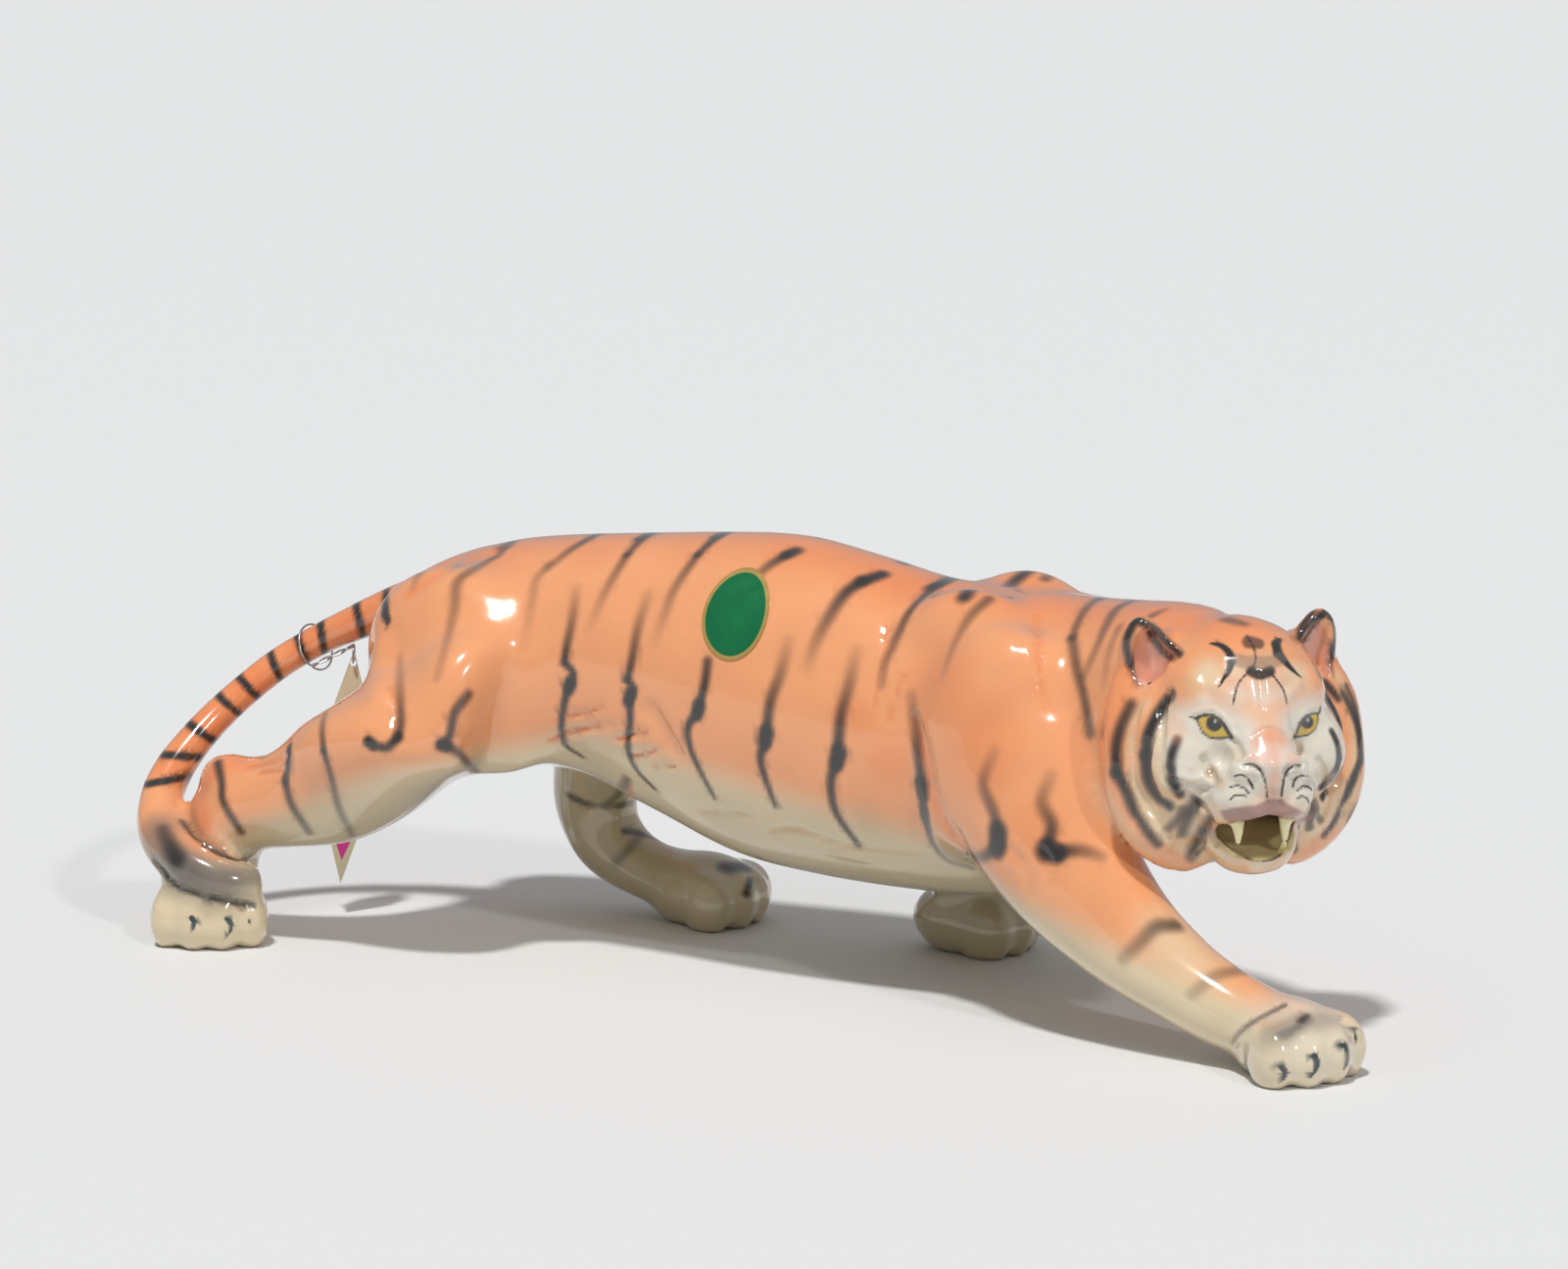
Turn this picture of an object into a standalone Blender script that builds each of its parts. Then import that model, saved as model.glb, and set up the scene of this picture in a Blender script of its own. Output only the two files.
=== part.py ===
"""Stalking tiger figurine: one glazed ceramic casting, an oval foil label, and a card tag on a wire.

Metres, +Z up. +X is the way the tiger walks, +Y is its left side, and the paws stand on Z = 0.
The casting is built up like clay: sections are lofted along the trunk, neck, legs and tail, ellipsoids
are laid on for the muscles, and the whole is fused and smoothed into a single skin.
"""

import math

import bmesh
import bpy
import numpy as np
from mathutils import Matrix, Vector
from mathutils.bvhtree import BVHTree

# Trunk: top of the back, underside and half width, from the rump to the base of the neck
RUMP_X = -0.150
CHEST_X = 0.118
BACK_TOP = 0.1515
BELLY_LOW = 0.0320
TRUNK_HALF_WIDTH = 0.0430

# Legs: half the distance between the left and the right paws, and the paws themselves
STANCE_HALF_WIDTH = 0.052
PAW_HALF_WIDTH = 0.0205
PAW_HEIGHT = 0.026
HOCK_RADIUS = 0.0150
WRIST_RADIUS = 0.0135

# Tail: radius at the root and at the blunt end that wraps the ankle
TAIL_ROOT_RADIUS = 0.0085
TAIL_THIN_RADIUS = 0.0062
TAIL_END_RADIUS = 0.0090

# Head: its centre behind the eyes, how far it turns to the tiger's right, and how far it nods
HEAD_CENTRE = Vector((0.177, -0.0335, 0.107))
HEAD_TURN = math.radians(-47)
HEAD_NOD = math.radians(4)
SKULL_RADIUS = 0.030
RUFF_HALF_WIDTH = 0.0405
EAR_LENGTH = 0.019
CANINE_LENGTH = 0.008

# Foil label on the right flank: its place along and below the back, size, lean and thickness
LABEL_X = -0.0062
LABEL_DROP = 0.0243
LABEL_WIDTH = 0.0245
LABEL_HEIGHT = 0.0300
LABEL_LEAN = math.radians(8)
LABEL_THICKNESS = 0.00035
TOUCH_GAP = 0.0003

# Wire tie round the tail, and the card that hangs on it
WIRE_RADIUS = 0.0004
RING_CENTRE = Vector((-0.1915, -0.0055, 0.0980))
RING_RADIUS = 0.0084
RING_NORMAL = Vector((0.90, -0.10, 0.36)).normalized()
CARD_HOLE = Vector((-0.1768, -0.0040, 0.0915))
CARD_LENGTH = 0.085
CARD_WIDTH = 0.0172
CARD_POINT = 0.029
CARD_THICKNESS = 0.0006
CARD_HOLE_RADIUS = 0.0012
CARD_HOLE_DROP = 0.0048
CARD_FACING = math.radians(-62)
CARD_LEAN = math.radians(-4)
EYE_RADIUS = 0.0032
RING_LEAVES = math.radians(-40)
TWIST_RADIUS = 0.00055
TWIST_TURNS = 1.5

# How the fused skin is made: grid of the first skin, smoothing passes, and faces kept
CLAY_GRID = 0.0016
FINE_GRID = 0.0010
BODY_PASSES = 45
HEAD_PASSES = 4
SKIN_TRIANGLES = 11500
HEAD_KEEP = 0.00003

RING_POINTS = 24
STEPS_PER_SECTION = 6
BALL_SEGMENTS = 24


def clear_scene():
    for obj in list(bpy.data.objects):
        bpy.data.objects.remove(obj, do_unlink=True)


def new_collection(name):
    made = bpy.data.collections.new(name)
    bpy.context.scene.collection.children.link(made)
    return made


def material(name, colour, roughness, metallic=0.0):
    made = bpy.data.materials.new(name)
    made.use_nodes = True
    shader = made.node_tree.nodes["Principled BSDF"]
    shader.inputs["Base Color"].default_value = (*colour, 1.0)
    shader.inputs["Roughness"].default_value = roughness
    shader.inputs["Metallic"].default_value = metallic
    made.diffuse_color = (*colour, 1.0)
    return made


def object_from(bm, name, collection):
    bmesh.ops.recalc_face_normals(bm, faces=bm.faces)
    mesh = bpy.data.meshes.new(name)
    bm.to_mesh(mesh)
    bm.free()
    made = bpy.data.objects.new(name, mesh)
    collection.objects.link(made)
    return made


def smooth_rows(rows, steps):
    """Rows of numbers, read off a Catmull-Rom curve through the given rows."""
    rows = np.array(rows, float)
    padded = np.vstack([2 * rows[0] - rows[1], rows, 2 * rows[-1] - rows[-2]])
    out = []
    for i in range(len(rows) - 1):
        a, b, c, d = padded[i : i + 4]
        for k in range(steps):
            t = k / steps
            out.append(
                0.5 * (2 * b + (c - a) * t + (2 * a - 5 * b + 4 * c - d) * t**2
                       + (3 * b - a - 3 * c + d) * t**3)
            )
    out.append(rows[-1])
    return np.array(out)


def add_loft(bm, rows, side, matrix=Matrix.Identity(4), steps=STEPS_PER_SECTION):
    """Closed skin over oval sections. A row is x, y, z, radius along side, radius across it."""
    rows = smooth_rows(rows, steps)
    centres = [Vector(row[:3]) for row in rows]
    rings = []
    for i, row in enumerate(rows):
        ahead = centres[min(i + 1, len(rows) - 1)] - centres[max(i - 1, 0)]
        ahead.normalize()
        along = (side - ahead * side.dot(ahead)).normalized()
        across = ahead.cross(along)
        ring = []
        for k in range(RING_POINTS):
            angle = 2 * math.pi * k / RING_POINTS
            point = (centres[i] + along * (row[3] * math.cos(angle))
                     + across * (row[4] * math.sin(angle)))
            ring.append(bm.verts.new(matrix @ point))
        rings.append(ring)
    for low, high in zip(rings, rings[1:]):
        for k in range(RING_POINTS):
            after = (k + 1) % RING_POINTS
            bm.faces.new((low[k], low[after], high[after], high[k]))
    bm.faces.new(rings[0][::-1])
    bm.faces.new(rings[-1])


def add_ball(bm, centre, radii, matrix=Matrix.Identity(4), turn=(0, 0, 0)):
    """An ellipsoid of clay, turned by degrees about X, Y and Z."""
    place = matrix @ Matrix.Translation(centre)
    for axis, degrees in zip("XYZ", turn):
        place = place @ Matrix.Rotation(math.radians(degrees), 4, axis)
    place = place @ Matrix.Diagonal((*radii, 1.0))
    bmesh.ops.create_uvsphere(
        bm, u_segments=BALL_SEGMENTS, v_segments=BALL_SEGMENTS // 2, radius=1.0, matrix=place
    )


def add_spike(bm, root, tip, radius, matrix=Matrix.Identity(4)):
    """A tooth: a cone from its root to its tip."""
    root, tip = Vector(root), Vector(tip)
    turn = (tip - root).to_track_quat("Z", "Y").to_matrix().to_4x4()
    bmesh.ops.create_cone(
        bm,
        cap_ends=True,
        segments=12,
        radius1=radius,
        radius2=radius * 0.32,
        depth=(tip - root).length,
        matrix=matrix @ Matrix.Translation((root + tip) / 2) @ turn,
    )


def add_trunk(bm):
    back, low, wide = BACK_TOP, BELLY_LOW, TRUNK_HALF_WIDTH
    top_and_bottom = [
        (RUMP_X, back - 0.031, low + 0.056, wide * 0.36),
        (RUMP_X + 0.016, back - 0.019, low + 0.038, wide * 0.66),
        (-0.112, back - 0.011, low + 0.030, wide * 0.84),
        (-0.078, back - 0.006, low + 0.028, wide * 0.88),
        (-0.044, back - 0.002, low + 0.017, wide * 0.92),
        (-0.010, back, low + 0.005, wide),
        (0.020, back - 0.005, low + 0.001, wide * 1.03),
        (0.050, back - 0.011, low, wide * 1.02),
        (0.080, back - 0.013, low + 0.002, wide * 0.98),
        (CHEST_X - 0.010, back - 0.014, low + 0.014, wide * 0.88),
        (CHEST_X + 0.008, back - 0.018, low + 0.030, wide * 0.70),
    ]
    rows = [(x, 0, (top + bottom) / 2, (top - bottom) / 2, width)
            for x, top, bottom, width in top_and_bottom]
    add_loft(bm, rows, Vector((0, 0, 1)))


def add_shoulders_and_haunches(bm):
    wide = TRUNK_HALF_WIDTH
    for side in (-1, 1):
        # Shoulder blade, upper arm and haunch
        add_ball(bm, (0.076, side * wide * 0.50, BACK_TOP - 0.031), (0.026, 0.014, 0.022))
        add_ball(bm, (0.092, side * wide * 0.80, 0.092), (0.031, 0.018, 0.042), turn=(0, 12, 0))
        add_ball(bm, (-0.114, side * wide * 0.62, 0.098), (0.043, 0.0205, 0.036), turn=(0, 25, 0))


def add_neck(bm):
    rows = [
        (0.090, 0.000, 0.095, 0.044, 0.038),
        (0.112, -0.003, 0.097, 0.042, 0.037),
        (0.134, -0.011, 0.102, 0.039, 0.034),
        (0.156, -0.023, 0.107, 0.036, 0.031),
        (0.172, -0.034, 0.110, 0.031, 0.028),
    ]
    add_loft(bm, rows, Vector((0, 0, 1)))


def add_paw(bm, heel, heading):
    """A paw on the ground: a flat pad, four toes with knuckles, and a heel. Heading is in degrees."""
    place = Matrix.Translation(heel) @ Matrix.Rotation(math.radians(heading), 4, "Z")
    wide, high = PAW_HALF_WIDTH, PAW_HEIGHT
    add_ball(bm, (0.006, 0, high * 0.42), (0.022, wide * 0.86, high * 0.55), place)
    for toe in range(4):
        across = (toe - 1.5) / 1.5
        reach = 0.020 - 0.005 * across**2
        add_ball(
            bm,
            (reach, across * wide * 0.68, high * 0.36),
            (0.0115, wide * 0.34, high * 0.46),
            place,
            turn=(0, 0, across * 12),
        )


def add_near_legs(bm):
    """The right legs: the fore one reaches forward, the hind one trails behind."""
    y = -STANCE_HALF_WIDTH
    fore = [
        (0.098, y * 0.72, 0.092, 0.030, 0.017),
        (0.112, y * 0.82, 0.072, 0.030, 0.018),
        (0.126, y * 0.90, 0.055, 0.025, 0.018),
        (0.146, y * 0.96, 0.038, 0.0190, 0.0170),
        (0.166, y, 0.026, WRIST_RADIUS * 1.12, WRIST_RADIUS * 1.15),
        (0.184, y * 1.04, 0.018, WRIST_RADIUS, WRIST_RADIUS),
        (0.196, y * 1.06, 0.015, WRIST_RADIUS * 0.9, WRIST_RADIUS),
    ]
    add_loft(bm, fore, Vector((1, 0, 0.8)))
    add_paw(bm, (0.201, y * 1.05, 0), -28)
    hind = [
        (-0.098, y * 0.36, 0.108, 0.024, 0.010),
        (-0.114, y * 0.56, 0.095, 0.038, 0.020),
        (-0.130, y * 0.68, 0.079, 0.042, 0.023),
        (-0.146, y * 0.79, 0.066, 0.034, 0.022),
        (-0.162, y * 0.87, 0.056, 0.0245, 0.0190),
        (-0.178, y * 0.93, 0.050, 0.0175, 0.0165),
        (-0.194, y * 0.97, 0.046, 0.0165, 0.0150),
        (-0.203, y * 0.98, 0.034, HOCK_RADIUS, HOCK_RADIUS),
        (-0.205, y * 0.98, 0.018, HOCK_RADIUS * 0.95, HOCK_RADIUS * 0.95),
    ]
    add_loft(bm, hind, Vector((1, 0, 0.8)))
    add_ball(bm, (-0.196, y * 0.97, 0.053), (0.015, 0.012, 0.0115), turn=(0, 25, 0))
    add_paw(bm, (-0.205, y * 1.02, 0), -62)


def add_far_legs(bm):
    """The left legs: the fore one is drawn back under the chest, the hind one steps under the belly."""
    y = STANCE_HALF_WIDTH
    fore = [
        (0.092, y * 0.72, 0.088, 0.028, 0.018),
        (0.074, y * 0.88, 0.062, 0.024, 0.018),
        (0.052, y * 0.98, 0.040, 0.019, 0.016),
        (0.033, y, 0.022, WRIST_RADIUS * 1.15, WRIST_RADIUS * 1.1),
    ]
    add_loft(bm, fore, Vector((1, 0, 0)))
    add_paw(bm, (0.034, y * 1.02, 0), 8)
    hind = [
        (-0.108, y * 0.60, 0.096, 0.036, 0.020),
        (-0.098, y * 0.76, 0.076, 0.030, 0.021),
        (-0.103, y * 0.86, 0.056, 0.019, 0.018),
        (-0.108, y * 0.90, 0.040, 0.0155, 0.0150),
        (-0.101, y * 0.90, 0.025, 0.0130, 0.0140),
        (-0.086, y * 0.91, 0.016, 0.0105, 0.0135),
        (-0.066, y * 0.92, 0.013, 0.0100, 0.0135),
    ]
    add_loft(bm, hind, Vector((1, 0, 0)))
    add_paw(bm, (-0.070, y * 0.92, 0), 0)


def add_tail(bm):
    root, thin, end = TAIL_ROOT_RADIUS, TAIL_THIN_RADIUS, TAIL_END_RADIUS
    rows = [
        (-0.120, 0.000, 0.1255, root * 1.60, root * 1.60),
        (-0.138, 0.000, 0.1205, root * 1.40, root * 1.35),
        (-0.152, 0.000, 0.1155, root * 1.12, root * 1.05),
        (-0.165, 0.000, 0.1110, root * 0.90, root * 0.88),
        (-0.178, -0.002, 0.1050, thin * 1.10, thin * 1.10),
        (-0.190, -0.005, 0.0990, thin, thin),
        (-0.204, -0.012, 0.0895, thin, thin),
        (-0.216, -0.023, 0.0770, thin * 1.02, thin * 1.02),
        (-0.2235, -0.036, 0.0645, thin * 1.1, thin * 1.1),
        (-0.2265, -0.049, 0.0520, thin * 1.25, thin * 1.25),
        (-0.223, -0.060, 0.041, end * 0.92, end * 0.92),
        (-0.214, -0.067, 0.033, end, end),
        (-0.200, -0.071, 0.027, end, end),
        (-0.188, -0.068, 0.023, end * 0.95, end * 0.95),
        (-0.182, -0.060, 0.022, end * 0.85, end * 0.85),
    ]
    add_loft(bm, rows, Vector((0, 0, 1)))


def head_place():
    """The head's own frame: +X out of the face, +Y to the tiger's left cheek, +Z up."""
    return (
        Matrix.Translation(HEAD_CENTRE)
        @ Matrix.Rotation(HEAD_TURN, 4, "Z")
        @ Matrix.Rotation(HEAD_NOD, 4, "Y")
    )


def add_skull(bm, place):
    add_ball(bm, (-0.004, 0, 0.0065), (SKULL_RADIUS, SKULL_RADIUS, 0.0280), place)
    add_ball(bm, (0.004, 0, 0.016), (0.016, 0.019, 0.0155), place)
    bridge = [
        (0.004, 0, 0.016, 0.013, 0.017),
        (0.014, 0, 0.009, 0.012, 0.013),
        (0.024, 0, -0.001, 0.0100, 0.0108),
        (0.032, 0, -0.006, 0.0082, 0.0104),
        (0.0372, 0, -0.0085, 0.0060, 0.0098),
    ]
    add_loft(bm, bridge, Vector((0, 0, 1)), place)
    add_ball(bm, (0.0320, 0, -0.0070), (0.0062, 0.0110, 0.0050), place, turn=(0, 25, 0))
    add_ball(bm, (0.0285, 0, -0.0160), (0.0070, 0.0060, 0.0085), place)
    for side in (-1, 1):
        # Brow, eyeball and cheekbone
        add_ball(bm, (0.0085, side * 0.0140, 0.0120), (0.0115, 0.0125, 0.0115), place)
        add_ball(bm, (0.0085, side * 0.0170, 0.0030), (0.0112, 0.0115, 0.0095), place)
        add_ball(bm, (0.0060, side * 0.0210, -0.0080), (0.0160, 0.0140, 0.0160), place)
        # Whisker pad and the lip that falls from it to the corner of the mouth
        add_ball(bm, (0.0240, side * 0.0090, -0.0155), (0.0125, 0.0092, 0.0085), place)
        add_ball(bm, (0.0185, side * 0.0135, -0.0205), (0.0110, 0.0052, 0.0080), place)
        # Nostril wing, and the upper lip that arches from the corner to the middle
        add_ball(bm, (0.0325, side * 0.0098, -0.0060), (0.0050, 0.0040, 0.0036), place)
        lip = [
            (0.0120, side * 0.0165, -0.0270, 0.0030, 0.0030),
            (0.0190, side * 0.0155, -0.0250, 0.0030, 0.0030),
            (0.0270, side * 0.0120, -0.0228, 0.0028, 0.0030),
            (0.0325, side * 0.0070, -0.0212, 0.0026, 0.0030),
            (0.0345, side * 0.0015, -0.0195, 0.0022, 0.0026),
        ]
        add_loft(bm, lip, Vector((0, 0, 1)), place)


def add_ruff(bm, place):
    wide = RUFF_HALF_WIDTH
    for side in (-1, 1):
        flange = [
            (-0.012, side * wide * 0.70, 0.018, 0.008, 0.0055),
            (-0.005, side * wide * 0.84, 0.006, 0.009, 0.0055),
            (0.000, side * wide * 0.88, -0.009, 0.009, 0.0055),
            (0.002, side * wide * 0.84, -0.024, 0.010, 0.0055),
            (0.003, side * wide * 0.68, -0.035, 0.010, 0.0055),
            (0.004, side * wide * 0.45, -0.040, 0.009, 0.0055),
            (0.006, side * wide * 0.22, -0.038, 0.007, 0.0060),
        ]
        add_loft(bm, flange, Vector((0, side, -0.35)), place)
        add_ball(bm, (-0.009, side * 0.0225, -0.010), (0.021, 0.0195, 0.031), place)
        add_ball(bm, (0.000, side * 0.0215, -0.027), (0.015, 0.0125, 0.014), place)


def add_ears(bm, place):
    for side in (-1, 1):
        add_ball(
            bm,
            (-0.009, side * 0.0275, 0.0185),
            (0.0058, 0.0098, EAR_LENGTH * 0.92),
            place,
            turn=(-side * 14, 0, side * 22),
        )


def add_jaw(bm, place):
    jaw = [
        (-0.004, 0, -0.030, 0.012, 0.016),
        (0.010, 0, -0.0345, 0.009, 0.0150),
        (0.020, 0, -0.0385, 0.0065, 0.0130),
        (0.027, 0, -0.0395, 0.0050, 0.0100),
    ]
    add_loft(bm, jaw, Vector((0, 0, 1)), place)
    for side in (-1, 1):
        rim = [
            (0.008, side * 0.0165, -0.0270, 0.0050, 0.0028),
            (0.016, side * 0.0142, -0.0320, 0.0045, 0.0026),
            (0.0240, side * 0.0100, -0.0360, 0.0035, 0.0026),
            (0.0290, side * 0.0030, -0.0375, 0.0030, 0.0026),
        ]
        add_loft(bm, rim, Vector((0, 0, 1)), place)


def add_canines(bm, place):
    for side in (-1, 1):
        add_spike(
            bm,
            (0.0265, side * 0.0082, -0.019),
            (0.0280, side * 0.0078, -0.025 - CANINE_LENGTH),
            0.0034,
            place,
        )


def add_mouth_cutter(bm, place):
    mouth = [
        (0.000, 0, -0.0270, 0.0035, 0.0070),
        (0.010, 0, -0.0284, 0.0064, 0.0112),
        (0.020, 0, -0.0295, 0.0076, 0.0126),
        (0.030, 0, -0.0296, 0.0080, 0.0122),
        (0.045, 0, -0.0296, 0.0084, 0.0118),
    ]
    add_loft(bm, mouth, Vector((0, 0, 1)), place)


def add_groove_cutters(bm, place):
    """What is carved into the face: nostrils, the valley behind each cheek, and the locks of the ruff."""
    for side in (-1, 1):
        add_ball(bm, (0.0375, side * 0.0074, -0.0084), (0.0032, 0.0030, 0.0019), place)
        for groove in (
            [
                (0.0080, side * 0.0290, 0.0120, 0.0020, 0.0016),
                (0.0100, side * 0.0335, 0.0000, 0.0030, 0.0026),
                (0.0100, side * 0.0345, -0.0120, 0.0034, 0.0030),
                (0.0120, side * 0.0300, -0.0240, 0.0030, 0.0028),
                (0.0150, side * 0.0230, -0.0330, 0.0020, 0.0018),
            ],
            [
                (0.0150, side * 0.0265, -0.0190, 0.0016, 0.0016),
                (0.0150, side * 0.0270, -0.0280, 0.0024, 0.0022),
                (0.0100, side * 0.0275, -0.0390, 0.0018, 0.0016),
            ],
            [
                (0.0090, side * 0.0360, -0.0100, 0.0014, 0.0014),
                (0.0080, side * 0.0375, -0.0200, 0.0022, 0.0020),
                (0.0060, side * 0.0350, -0.0320, 0.0016, 0.0014),
            ],
        ):
            add_loft(bm, groove, Vector((0, side, 0)), place)


def build_clay(parts):
    bm = bmesh.new()
    place = head_place()
    add_trunk(bm)
    add_shoulders_and_haunches(bm)
    add_neck(bm)
    add_near_legs(bm)
    add_far_legs(bm)
    add_tail(bm)
    add_skull(bm, place)
    add_ruff(bm, place)
    add_ears(bm, place)
    add_jaw(bm, place)
    return object_from(bm, "tiger", parts)


def apply_modifiers(obj):
    """Replace the object's mesh by what its modifiers make of it."""
    seen = obj.evaluated_get(bpy.context.evaluated_depsgraph_get())
    baked = bpy.data.meshes.new_from_object(seen)
    obj.modifiers.clear()
    obj.data = baked


def fuse(obj, grid):
    skin = obj.modifiers.new("fuse", "REMESH")
    skin.mode = "VOXEL"
    skin.voxel_size = grid
    apply_modifiers(obj)


def fade(distance, near, far):
    """1 inside near, 0 beyond far, and an even slope between them."""
    return float(np.clip((far - distance) / (far - near), 0.0, 1.0))


def region_weight(obj, name, weight_at):
    group = obj.vertex_groups.new(name=name)
    for vertex in obj.data.vertices:
        group.add([vertex.index], weight_at(vertex.co), "REPLACE")


def soften(obj, name, group, passes):
    modifier = obj.modifiers.new(name, "SMOOTH")
    modifier.factor = 0.5
    modifier.iterations = passes
    modifier.vertex_group = group


def boolean(obj, cutter, operation):
    modifier = obj.modifiers.new(operation.lower(), "BOOLEAN")
    modifier.object = cutter
    modifier.operation = operation
    modifier.solver = "EXACT"


def build_casting(parts, cutters):
    place = head_place()
    casting = build_clay(parts)
    fuse(casting, CLAY_GRID)
    region_weight(casting, "body", body_weight)
    region_weight(casting, "head", lambda co: 1.0 - body_weight(co))
    soften(casting, "body_soften", "body", BODY_PASSES)
    soften(casting, "head_soften", "head", HEAD_PASSES)

    mouth = bmesh.new()
    add_mouth_cutter(mouth, place)
    boolean(casting, object_from(mouth, "mouth_cutter", cutters), "DIFFERENCE")
    grooves = bmesh.new()
    add_groove_cutters(grooves, place)
    carver = object_from(grooves, "groove_cutter", cutters)
    fuse(carver, FINE_GRID * 0.5)
    boolean(casting, carver, "DIFFERENCE")
    for side, name in ((-1, "right_ear_cutter"), (1, "left_ear_cutter")):
        ear = bmesh.new()
        add_ball(
            ear,
            (-0.0045, side * 0.0275, 0.0205),
            (0.0052, 0.0062, EAR_LENGTH * 0.62),
            place,
            turn=(-side * 14, 0, side * 22),
        )
        boolean(casting, object_from(ear, name, cutters), "DIFFERENCE")
    apply_modifiers(casting)

    teeth = bmesh.new()
    teeth.from_mesh(casting.data)
    add_canines(teeth, place)
    teeth.to_mesh(casting.data)
    teeth.free()
    fuse(casting, FINE_GRID)
    region_weight(casting, "all", lambda co: 1.0)
    soften(casting, "last_soften", "all", 2)
    apply_modifiers(casting)
    thin_out(casting, SKIN_TRIANGLES)
    floor = bmesh.new()
    bmesh.ops.create_cube(floor, size=1.0, matrix=Matrix.Translation((0, 0, -0.5)))
    boolean(casting, object_from(floor, "sole_cutter", cutters), "DIFFERENCE")
    apply_modifiers(casting)
    return casting


def thin_out(obj, triangles):
    """Drop faces, and keep them closer together on the head than on the body."""
    region_weight(obj, "plain", lambda co: 1.0 - 0.5 * fade((co - HEAD_CENTRE).length, 0.045, 0.060))
    count = sum(len(polygon.vertices) - 2 for polygon in obj.data.polygons)
    modifier = obj.modifiers.new("thin", "DECIMATE")
    modifier.ratio = triangles / count
    modifier.vertex_group = "plain"
    modifier.vertex_group_factor = HEAD_KEEP
    apply_modifiers(obj)


def body_weight(co):
    """Where the clay is smoothed long: the trunk and upper legs, not the head, paws or tail."""
    head = fade((co - HEAD_CENTRE).length, 0.048, 0.062)
    low = fade(co.z, 0.018, 0.036)
    tail = fade(co.x, -0.168, -0.148)
    return (1.0 - head) * (1.0 - low) * (1.0 - tail)


def build_label(casting, parts):
    """An oval of foil laid on the right flank."""
    bm = bmesh.new()
    rings = 6
    spokes = 36
    lean = Matrix.Rotation(-LABEL_LEAN, 3, "Y")
    centre = Vector((LABEL_X, -2 * TRUNK_HALF_WIDTH, BACK_TOP - LABEL_DROP))
    hub = bm.verts.new(centre)
    inner = None
    for ring in range(1, rings + 1):
        reach = ring / rings
        loop = []
        for k in range(spokes):
            angle = 2 * math.pi * k / spokes
            flat = Vector((math.cos(angle) * LABEL_WIDTH / 2, 0, math.sin(angle) * LABEL_HEIGHT / 2))
            loop.append(bm.verts.new(centre + lean @ (flat * reach)))
        for k in range(spokes):
            after = (k + 1) % spokes
            if inner is None:
                bm.faces.new((hub, loop[k], loop[after]))
            else:
                bm.faces.new((inner[k], loop[k], loop[after], inner[after]))
        inner = loop
    label = object_from(bm, "foil_label", parts)
    if label.data.polygons[0].normal.y > 0:
        label.data.flip_normals()
    lay = label.modifiers.new("lay", "SHRINKWRAP")
    lay.wrap_method = "PROJECT"
    lay.target = casting
    lay.use_project_y = True
    lay.use_positive_direction = True
    lay.use_negative_direction = False
    lay.wrap_mode = "ABOVE_SURFACE"
    lay.offset = TOUCH_GAP
    thick = label.modifiers.new("thick", "SOLIDIFY")
    thick.thickness = LABEL_THICKNESS
    thick.offset = 1.0
    apply_modifiers(label)
    return label


def card_axes():
    """Across the card, up the card, and out of its printed face."""
    out = Vector((math.cos(CARD_FACING), math.sin(CARD_FACING), 0))
    level = Vector((0, 0, 1)).cross(out)
    turn = Matrix.Rotation(CARD_LEAN, 3, out)
    return turn @ level, turn @ Vector((0, 0, 1)), out


def build_card(parts):
    """The hang tag: a strip of card, pointed at both ends, with a hole under the top point."""
    across, up, out = card_axes()
    top = CARD_HOLE_DROP
    low = top - CARD_LENGTH
    half = CARD_WIDTH / 2
    outline = [(0, top), (-half, top - CARD_POINT), (-half, low + CARD_POINT),
               (0, low), (half, low + CARD_POINT), (half, top - CARD_POINT)]
    hole = [(CARD_HOLE_RADIUS * math.cos(a), CARD_HOLE_RADIUS * math.sin(a))
            for a in np.linspace(0, 2 * math.pi, 17)[:-1]]
    curve = bpy.data.curves.new("hang_tag", "CURVE")
    curve.dimensions = "2D"
    curve.fill_mode = "BOTH"
    curve.extrude = CARD_THICKNESS / 2
    for points in (outline, hole):
        spline = curve.splines.new("POLY")
        spline.points.add(len(points) - 1)
        for point, (x, y) in zip(spline.points, points):
            point.co = (x, y, 0, 1)
        spline.use_cyclic_u = True
    card = bpy.data.objects.new("hang_tag", curve)
    parts.objects.link(card)
    card.matrix_world = Matrix.Translation(CARD_HOLE) @ Matrix((across, up, out)).transposed().to_4x4()
    bpy.context.view_layer.update()
    seen = card.evaluated_get(bpy.context.evaluated_depsgraph_get())
    mesh = bpy.data.meshes.new_from_object(seen)
    mesh.transform(card.matrix_world)
    bpy.data.objects.remove(card, do_unlink=True)
    bm = bmesh.new()
    bm.from_mesh(mesh)
    bmesh.ops.remove_doubles(bm, verts=bm.verts, dist=0.00001)
    return object_from(bm, "hang_tag", parts)


def ring_points(centre):
    """The loop round the tail, from the place where the twist leaves it and back to there."""
    lowest = (Vector((0, 0, -1)) + RING_NORMAL * RING_NORMAL.z).normalized()
    beside = RING_NORMAL.cross(lowest)
    points = []
    for angle in np.radians(np.linspace(8, 352, 60)):
        turned = angle + RING_LEAVES
        points.append(centre + RING_RADIUS * (lowest * math.cos(turned) + beside * math.sin(turned)))
    return points


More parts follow.
